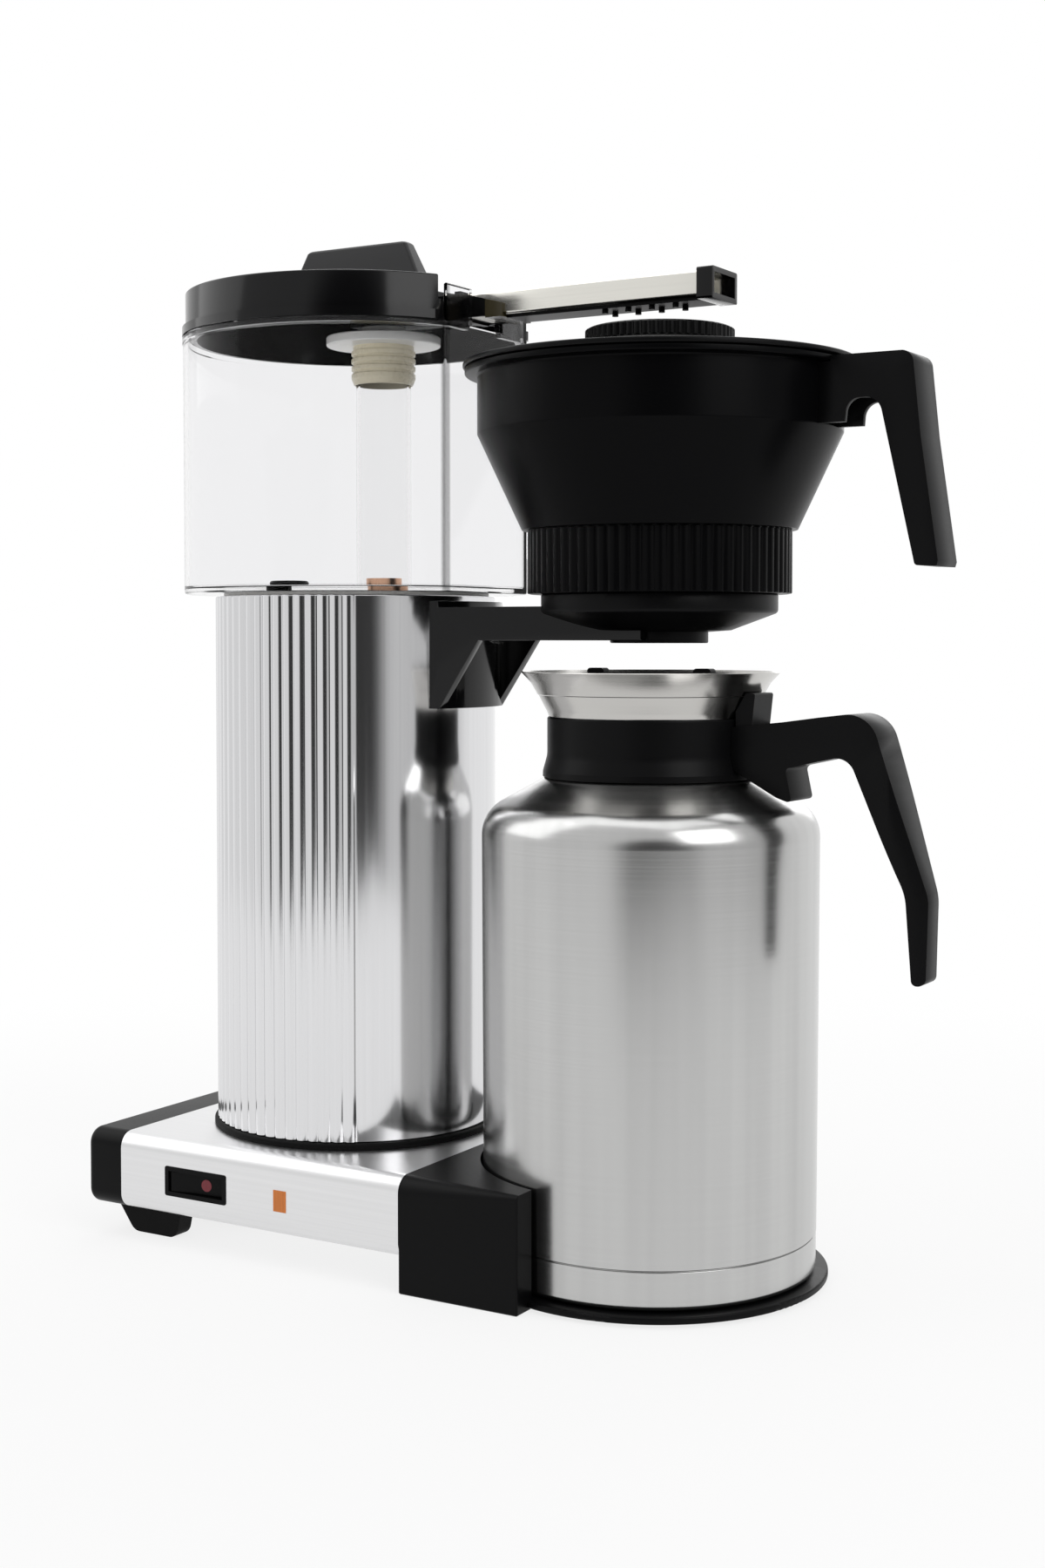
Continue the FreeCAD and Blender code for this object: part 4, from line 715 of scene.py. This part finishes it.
@dataclass
class Tank:
    """Clear tank with its riser and strainer, the black lid and its grip."""

    tank: Extent = from_frame("tank")
    tower: Extent = from_frame("tower_cap")
    riser: Extent = from_frame("riser_tube")
    knob: Extent = from_frame("lid_knob")
    lid: Extent = from_frame("tank_lid")
    radius: float = 77.6
    wall: float = 2.0
    floor: float = 2.2
    rim: float = 402.0
    lip: float = 0.4
    lip_height: float = 3.5
    lip_step: float = 0.6
    edge: float = 0.5
    foot_round: float = 1.0
    floor_round: float = 1.5
    corner: float = 2.0
    notch: float = 12.9
    riser_wall: float = 1.5
    knob_foot: tuple[float, float] = (38.0, 5.5)
    knob_top: tuple[float, float] = (26.75, 3.5)
    knob_corner: float = 1.5
    knob_levels: tuple[tuple[float, float], ...] = (
        (0.0, 0.0), (0.3, 0.0), (0.65, 0.0), (0.94, 0.0), (0.97, 0.35), (0.99, 0.9), (1.0, 1.6))

    def build(self) -> None:
        """Makes the pieces of the tank and its lid."""
        self.build_tank()
        self.build_riser()
        self.build_knob()
        dress("tank_lid", Finish.GLOSS_BLACK)
        dress("tank_strainer", Finish.SATIN_BLACK)

    def plan(self, radius: float, front: float, corner: float) -> Array:
        """Plan of the tank: a circle about the tower's axis cut flat in front, with rounded corners.

        Args:
            radius: of the round part.
            front: distance from the axis to the flat front.
            corner: radius of the two corners.

        Returns:
            (n, 2) closed outline that starts on the flat front's far end.
        """
        x = self.tower.middle[0]
        reach = math.acos((front - corner) / (radius - corner))
        turn = np.linspace(reach, 2 * math.pi - reach, 150)
        back = radius * np.stack([np.cos(turn), np.sin(turn)], axis=1)
        centre = (radius - corner) * np.array([math.cos(reach), math.sin(reach)])
        bend = np.linspace(0, reach, 6)[:-1]
        far = centre + corner * np.stack([np.cos(bend), np.sin(bend)], axis=1)
        near = far[::-1] * (1, -1)
        edge = centre[1]
        gap = 0.01
        half_stops = np.array([self.notch, self.notch + gap, edge - gap])
        stops = np.concatenate([-half_stops[::-1], half_stops])
        flat = np.column_stack([np.full(len(stops), front), stops])
        return np.concatenate([flat, far, back, near]) + (x, 0)

    def build_tank(self) -> None:
        """Clear cup: the plan's outer ring raised to the rim, in over the rim and down to the floor.

        Points of the flat front outside the arm's notch rise further, to the fence's top.
        """
        front = self.tank.high[0] - self.tower.middle[0]
        outer = self.plan(self.radius, front, self.corner)
        inner = self.plan(self.radius - self.wall, front - self.wall, self.corner)
        low, high = self.tank.low[2], self.tank.high[2]
        x, y = outer.T
        fence = (x > self.tank.high[0] - 1e-6) & (np.abs(y) > self.notch)
        top = np.where(fence, high, self.rim)
        out = np.where(x > self.tank.high[0] - self.corner, 0.0, self.lip)
        lip_plan = inset(outer, -out[:, None])
        floor = low + self.floor
        lip_foot = self.rim - self.lip_height
        edge = self.edge
        foot, foot_bend = self.foot_round, 0.3 * self.foot_round
        dish, dish_bend = self.floor_round, self.floor_round / 3
        levels = [(inset(outer, foot), low), (inset(outer, foot_bend), low + foot_bend), (outer, low + foot),
                  (outer, lip_foot), (lip_plan, lip_foot + self.lip_step), (lip_plan, top - edge),
                  (inset(lip_plan, edge), top), (inset(inner, -edge), top), (inner, top - edge),
                  (inner, floor + dish), (inset(inner, dish_bend), floor + dish_bend),
                  (inset(inner, dish), floor)]
        rings = [np.column_stack([plan, np.broadcast_to(z, len(plan))]) for plan, z in levels]
        show("clear_tank", Solid().loft(rings), Finish.CLEAR_TANK, "tank")

    def build_riser(self) -> None:
        """Clear stand pipe: a thin rectangle turned about the riser's axis."""
        outer = self.riser.half[0]
        low, high = self.riser.low[2], self.riser.high[2]
        bore = outer - self.riser_wall
        profile = rounded([(bore, low, 0), (outer, low, 0), (outer, high, 0.6), (bore, high, 0.6)])
        pipe = Solid().lathe(profile, self.riser.middle[0], turns=96)
        show("stand_pipe", pipe, Finish.CLEAR_TUBE, "riser_tube")

    def build_knob(self) -> None:
        """Grip: a rounded rectangle that shrinks evenly from its foot to its top, with an eased top edge.

        Each level is a share of the height and how far its sides are drawn in.
        """
        x = self.knob.middle[0]
        foot = np.array(self.knob_foot)
        top = np.array(self.knob_top)
        low, high = self.lid.high[2], self.knob.high[2]
        corner = self.knob_corner
        rings = []
        for share, draw in self.knob_levels:
            u, v = foot + (top - foot) * share - draw
            sides = [(x - u, -v, corner), (x + u, -v, corner), (x + u, v, corner), (x - u, v, corner)]
            plan = rounded(sides, steps=5)
            rings.append(np.column_stack([plan, np.full(len(plan), low + (high - low) * share)]))
        show("lid_grip", Solid().loft(rings), Finish.DARK_GRIP, "lid_knob")


@dataclass
class OutletArm:
    """Flat steel tube from the riser to the basket, with its root, sleeve, cap, drip strip and coupling."""

    tube_edge: float = 0.8
    cap_edge: float = 0.5

    def build(self) -> None:
        """Makes the pieces of the arm."""
        dress("outlet_tube", Finish.ARM_STEEL, bevel=self.tube_edge)
        dress("arm_root", Finish.SATIN_BLACK)
        dress("arm_sleeve", Finish.OLIVE)
        dress("arm_end_cap", Finish.GLOSS_BLACK, bevel=self.cap_edge)
        dress("outlet_strip", Finish.SATIN_BLACK)
        dress("riser_coupling", Finish.IVORY)
        dress("coupling_disc", Finish.WHITE)


@dataclass
class Basket:
    """Filter basket with its fluted foot, handle and knurled cover, and the bracket that carries it."""

    body: Extent = from_frame("filter_basket")
    cover: Extent = from_frame("basket_lid")
    radius: float = 76.0
    foot_radius: float = 55.1
    ledge: float = 2.4
    wall: float = 2.5
    floor: float = 3.0
    drain: float = 5.0
    shoulder: float = 352.3
    waist: float = 312.4
    bend: float = 2.0
    rim_height: float = 2.4
    rim_edge: float = 0.7
    flutes: int = 72
    flute_depth: float = 0.8
    knurls: int = 56
    knurl_depth: float = 0.8
    rib_points: int = 8
    collar_radius: float = 31.1
    inlet_radius: float = 23.6
    cover_rise: float = 7.5
    cover_sheet: float = 3.0
    cover_rim: float = 2.2
    seat_gap: float = 0.3
    skirt_gap: float = 1.0
    skirt_sheet: float = 2.2
    skirt_depth: float = 4.0

    def build(self) -> None:
        """Makes the pieces of the basket and its bracket."""
        self.build_body()
        self.build_cover()
        dress("basket_base", Finish.SATIN_BLACK)
        dress("basket_handle", Finish.SATIN_BLACK, bevel=0.6)
        dress("basket_bracket", Finish.GLOSS_BLACK, bevel=0.3)
        dress("bracket_screws", Finish.SCREW_STEEL)

    def build_body(self) -> None:
        """Basket: its wall's profile turned about the axis, with flutes swelling out of the foot."""
        low, high = self.body.low[2], self.body.high[2]
        rim = self.body.half[0]
        foot = self.foot_radius - self.flute_depth
        bore = self.foot_radius - self.wall
        inside = self.radius - self.wall
        floor = low + self.floor
        ledge = self.foot_radius + self.ledge - 0.1
        rim_foot = high - self.rim_height
        bend = self.bend
        corners = [(self.drain, low, 0), (foot - 0.3, low, 0.4), (foot, low + 0.6, 0),
                   (foot, self.waist - 0.8, 0), (foot + 0.4, self.waist, 0), (ledge, self.waist + 0.2, 0.3),
                   (self.radius, self.shoulder, bend), (self.radius, rim_foot - 0.6, 1.0),
                   (rim, rim_foot, self.rim_edge), (rim, high, self.rim_edge), (inside, high, 0.5),
                   (inside, self.shoulder + 0.8, bend), (bore, self.waist + 0.5, bend), (bore, floor, 1.5),
                   (self.drain, floor, 0)]
        profile = rounded(corners, steps=5)
        fluted = (profile[:, 0] > foot - 0.2) & (profile[:, 1] < self.waist - 0.5)
        swell = np.where(fluted, self.flute_depth, 0.0)
        turns = self.flutes * self.rib_points
        solid = Solid().lathe(profile, self.body.middle[0], turns, swell, self.flutes)
        show("basket_body", solid, Finish.SMOOTH_BLACK, "filter_basket")

    def build_cover(self) -> None:
        """Cover: its profile turned about the axis, with knurls swelling out of the collar's side."""
        high = self.cover.high[2]
        rim = self.cover.half[0]
        seat = self.body.high[2] + self.seat_gap
        skirt = self.radius - self.wall - self.skirt_gap
        inside = skirt - self.skirt_sheet
        hem = seat - self.skirt_depth
        collar = self.collar_radius - self.knurl_depth
        plate = self.body.high[2] + self.cover_rise
        upper = plate + self.cover_sheet
        rim_top = seat + self.cover_rim
        corners = [(self.inlet_radius, plate + 0.5, 0), (collar, plate, 0), (inside, seat + 0.6, 0),
                   (inside, hem, 0.4), (skirt, hem, 0.4), (skirt, seat, 0), (rim, seat, self.rim_edge),
                   (rim, rim_top, 0.9), (skirt, rim_top + 0.4, 3.0), (collar + 0.5, upper, 0.4),
                   (collar, upper + 0.6, 0), (collar, high - 0.7, 0), (collar - 0.5, high, 0.4),
                   (self.inlet_radius, high, 0.6)]
        profile = rounded(corners, steps=5)
        side = (np.abs(profile[:, 0] - collar) < 0.1) & (profile[:, 1] > upper + 0.3)
        swell = np.where(side, self.knurl_depth, 0.0)
        turns = self.knurls * self.rib_points
        solid = Solid().lathe(profile, self.cover.middle[0], turns, swell, self.knurls)
        show("basket_cover", solid, Finish.SATIN_BLACK, "basket_lid")


@dataclass
class Carafe:
    """Thermal jug: steel body, black collar and handle, pouring funnel and stopper."""

    shell: Extent = from_frame("carafe_shell")
    cup: Extent = from_frame("carafe_base_cup")
    collar: Extent = from_frame("carafe_collar")
    funnel: Extent = from_frame("carafe_funnel")
    radius: float = 70.0
    top_radius: float = 70.8
    sheet: float = 1.0
    shoulder_edge: float = 194.8
    shoulder_top: float = 209.8
    shoulder_round: float = 16.0
    neck: float = 41.0
    foot_step: float = 0.2
    foot_recess: float = 2.0
    foot_ring: float = 11.0
    foot_slope: float = 3.0
    foot_sheet: float = 1.5
    foot_lap: float = 4.0
    seam_gap: float = 0.5
    flare: float = 1.9
    flare_foot: float = 2.7
    flare_top: float = 9.2
    funnel_sheet: float = 0.9
    funnel_bore: float = 38.0
    funnel_floor: float = 1.2
    funnel_side: tuple[tuple[float, float], ...] = (
        (42.7, 0.0), (43.0, 1.0), (43.5, 2.2), (44.8, 4.6), (46.9, 8.8), (47.4, 9.1), (50.1, 13.9))

    def build(self) -> None:
        """Makes the pieces of the jug."""
        self.build_shell()
        self.build_cup()
        self.build_collar()
        self.build_funnel()
        dress("carafe_handle", Finish.SATIN_BLACK, bevel=0.6)
        dress("funnel_clip", Finish.SATIN_BLACK)
        dress("brew_lid", Finish.SATIN_BLACK)
        dress("mixing_tube", Finish.SATIN_BLACK)
        dress("lid_seal", Finish.SILICONE)
        dress("carafe_flask", Finish.BRUSHED_JUG)
        dress("collar_screw", Finish.SCREW_STEEL)

    def build_shell(self) -> None:
        """Jug body: straight wall, round shoulder, cone and neck, turned about the jug's axis."""
        r = self.radius
        top = self.top_radius
        low, high = self.shell.low[2], self.shell.high[2]
        t = self.sheet
        corners = [(r - t, low, 0), (r - 0.2, low, 0), (r, low + 0.3, 0),
                   (top, self.shoulder_edge, self.shoulder_round), (self.neck + 3, self.shoulder_top, 2),
                   (self.neck, self.shoulder_top + 1, 0), (self.neck, high, 0), (self.neck - t, high, 0),
                   (self.neck - t, self.shoulder_top - 0.4, 0),
                   (top - t, self.shoulder_edge - 0.8, self.shoulder_round - t)]
        profile = rounded(corners, steps=16)
        body = Solid().lathe(profile, self.shell.middle[0], turns=256)
        show("jug_body", body, Finish.BRUSHED_JUG, "carafe_shell")

    def build_cup(self) -> None:
        """Foot of the jug below the seam, turned about the jug's axis."""
        r = self.radius
        low = self.cup.low[2]
        seam = self.shell.low[2] - self.seam_gap
        lap = self.shell.low[2] + self.foot_lap
        ring = r - self.foot_ring
        side = r - self.foot_step
        lapped = r - self.sheet
        inside = lapped - self.foot_sheet
        recess = low + self.foot_recess
        floor = recess + self.foot_sheet
        corners = [(0, recess, 0), (ring - self.foot_slope, recess, 1), (ring, low, 1), (side, low, 2.5),
                   (side, seam, 0.3), (lapped, seam, 0), (lapped, lap, 0), (inside, lap, 0),
                   (inside, floor, 2), (0, floor, 0)]
        profile = rounded(corners, steps=8)
        foot = Solid().lathe(profile, self.shell.middle[0], turns=256)
        show("jug_foot", foot, Finish.BRUSHED_JUG, "carafe_base_cup")

    def build_collar(self) -> None:
        """Band round the neck: straight above and flared at its foot, turned about the jug's axis."""
        low, high = self.collar.low[2], self.collar.high[2]
        foot = self.collar.half[1]
        band = foot - self.flare
        corners = [(self.neck, low + 1.2, 0), (foot, low, 0.4), (foot - 0.1, low + self.flare_foot, 1),
                   (band, low + self.flare_top, 12), (band, high, 0.8), (self.neck, high, 0)]
        profile = rounded(corners, steps=8)
        solid = Solid().lathe(profile, self.shell.middle[0], turns=192)
        show("neck_collar", solid, Finish.SATIN_BLACK, "carafe_collar")

    def build_funnel(self) -> None:
        """Pouring funnel of thin sheet with a fine step, turned about the jug's axis.

        The side's points are radii and heights over the funnel's foot, and the inside is a sheet further in.
        """
        low, high = self.funnel.low[2], self.funnel.high[2]
        rim = self.funnel.half[0]
        t = self.funnel_sheet
        floor = low + self.funnel_floor
        side = np.array(self.funnel_side) + (0, low)
        outside = np.concatenate([side, [(rim, high - 0.3), (rim - 0.2, high)]])
        inside = outside[::-1] - (t, 0)
        inside[:2, 0] = (rim - 0.6, rim - t)
        foot = np.array([(outside[0, 0] - t, floor), (self.funnel_bore, floor), (self.funnel_bore, low)])
        profile = np.concatenate([outside, inside[:-1], foot])
        show("pouring_funnel", Solid().lathe(profile, self.shell.middle[0], turns=192), Finish.BRUSHED_FUNNEL,
             "carafe_funnel", crease=24.0)


@dataclass
class Studio:
    """Pale floor, white surroundings, soft lamps and the camera.

    The camera's spot is in millimetres, and every other length is in metres.
    """

    camera_spot: tuple[float, float, float] = (455.46, -773.77, 268.03)
    camera_pitch: float = 87.875
    camera_heading: float = 30.807
    lens: float = 47.6
    rise: float = -0.0444
    target: tuple[float, float, float] = (0.0, 0.0, 0.22)
    floor_half: float = 1.1
    floor_near: float = 0.80
    fade: tuple[float, float] = (0.30, 0.75)
    spread_light: float = 0.45
    room_left: float = 0.85
    room_right: float = 0.62
    room_dark: float = 0.06
    room_sides: tuple[float, float] = (-0.6, 0.5)
    dark_reach: tuple[float, float] = (-0.97, -0.84)
    backdrop: tuple[float, float] = (-0.2, 0.45)

    def build(self) -> None:
        """Makes the studio round the machine."""
        self.build_floor()
        self.build_world()
        self.build_lamps()
        self.build_camera()
        bpy.context.scene.view_settings.view_transform = "Standard"

    def build_floor(self) -> None:
        """Flat square under the machine that keeps its shadow and fades to white away from it."""
        half = self.floor_half
        mesh = bpy.data.meshes.new("floor")
        corners = [(-half, -half, 0), (half, -half, 0), (half, half, 0), (-half, half, 0)]
        mesh.from_pydata(corners, [], [(0, 1, 2, 3)])
        floor = bpy.data.objects.new("floor", mesh)
        bpy.context.scene.collection.objects.link(floor)
        material = bpy.data.materials.new("pale_floor")
        material.use_nodes = True
        graph = Graph(material.node_tree)
        matte = graph.add("ShaderNodeBsdfDiffuse", {}, {"Color": (0.86, 0.86, 0.86, 1.0)})
        glow = graph.add("ShaderNodeEmission", {}, {"Color": (1.0, 1.0, 1.0, 1.0), "Strength": 1.0})
        spot = graph.place((1.0, 1.0, 1.0))
        distance = graph.add("ShaderNodeVectorMath", {"operation": "LENGTH"}, {0: spot}, "Value")
        seen = self.seen(graph) * distance.ramp(*self.fade, self.floor_near, 1.0)
        mixed = graph.add("ShaderNodeMixShader", {}, {0: seen, 1: matte, 2: glow})
        graph.end("ShaderNodeOutputMaterial", {"Surface": mixed})
        mesh.materials.append(material)

    @staticmethod
    def ray(graph: Graph, way: str) -> Signal:
        """1 for rays of one kind, such as Is Camera Ray, and 0 for others."""
        return graph.add("ShaderNodeLightPath", {}, {}, way)

    def clear(self, graph: Graph) -> Signal:
        """1 where the camera looks, also through glass, and 0 elsewhere."""
        return self.ray(graph, "Is Camera Ray").larger(self.ray(graph, "Is Transmission Ray"))

    def seen(self, graph: Graph) -> Signal:
        """1 where the camera, a mirror or glass looks, and 0 where light only spreads."""
        return self.clear(graph).larger(self.ray(graph, "Is Glossy Ray"))

    def room(self, graph: Graph) -> Signal:
        """What metal mirrors: the white backdrop behind the machine, and a room in front of it.

        The room is light on the left, grey on the right and dark in the middle.
        """
        heading = math.radians(self.camera_heading)
        way = graph.add("ShaderNodeTexCoord", {}, {}, "Generated")

        def along(x: float, y: float) -> Signal:
            """How far the looked-at direction points along a level direction, from -1 to 1."""
            vectors = {0: way, 1: (x, y, 0.0)}
            return graph.add("ShaderNodeVectorMath", {"operation": "DOT_PRODUCT"}, vectors, "Value")

        back = along(-math.sin(heading), math.cos(heading))
        side = along(math.cos(heading), math.sin(heading))
        hall = side.ramp(*self.room_sides, self.room_left, self.room_right)
        hall = hall * back.ramp(*self.dark_reach, self.room_dark, 1.0)
        behind = back.ramp(*self.backdrop)
        return hall + behind * (1.0 - hall)

    def build_world(self) -> None:
        """White surroundings where they are seen, the room in metal, and a softer light that only spreads."""
        world = bpy.data.worlds.new("studio")
        bpy.context.scene.world = world
        world.use_nodes = True
        graph = Graph(world.node_tree)
        clear = self.clear(graph)
        glossy = self.ray(graph, "Is Glossy Ray")
        mirrored = glossy * (self.room(graph) - self.spread_light) + self.spread_light
        strength = clear + (1.0 - clear) * mirrored
        sky = graph.add("ShaderNodeBackground", {}, {"Color": (1.0, 1.0, 1.0, 1.0), "Strength": strength})
        graph.end("ShaderNodeOutputWorld", {"Surface": sky})

    def build_lamps(self) -> None:
        """Four large soft lamps."""
        self.lamp("key", (-1.4, -0.5, 1.2), 1.5, 8.0)
        self.lamp("fill", (1.3, -0.5, 1.0), 0.9, 8.0)
        self.lamp("top", (0.0, 0.1, 1.6), 1.8, 9.0)
        self.lamp("back", (-0.4, 1.3, 0.9), 1.2, 5.0)

    def lamp(self, name: str, spot: tuple[float, float, float], size: float, power: float) -> None:
        """Square area lamp aimed at the machine.

        Args:
            name: name of the lamp.
            spot: where it stands, in metres.
            size: length of its sides, in metres.
            power: in watts.
        """
        data = bpy.data.lights.new(name, "AREA")
        data.size = size
        data.energy = power
        lamp = bpy.data.objects.new(name, data)
        lamp.location = spot
        lamp.visible_transmission = False
        aim = Vector(self.target) - Vector(spot)
        lamp.rotation_euler = aim.to_track_quat("-Z", "Y").to_euler()
        bpy.context.scene.collection.objects.link(lamp)

    def build_camera(self) -> None:
        """Camera where the photograph was taken from."""
        data = bpy.data.cameras.new("camera")
        data.lens = self.lens
        data.shift_y = self.rise
        data.clip_start = 0.01
        camera = bpy.data.objects.new("camera", data)
        camera.location = Vector(self.camera_spot) * MM
        camera.rotation_euler = (math.radians(self.camera_pitch), 0, math.radians(self.camera_heading))
        bpy.context.scene.collection.objects.link(camera)
        bpy.context.scene.camera = camera


def main() -> None:
    """Builds every sub-assembly and the studio."""
    logging.basicConfig(level=logging.INFO, format="%(name)s: %(message)s")
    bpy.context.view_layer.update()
    for part in (Base(), Tower(), Tank(), OutletArm(), Basket(), Carafe(), Studio()):
        part.build()
        LOG.info("finished %s", type(part).__name__)


if __name__ == "__main__":
    main()
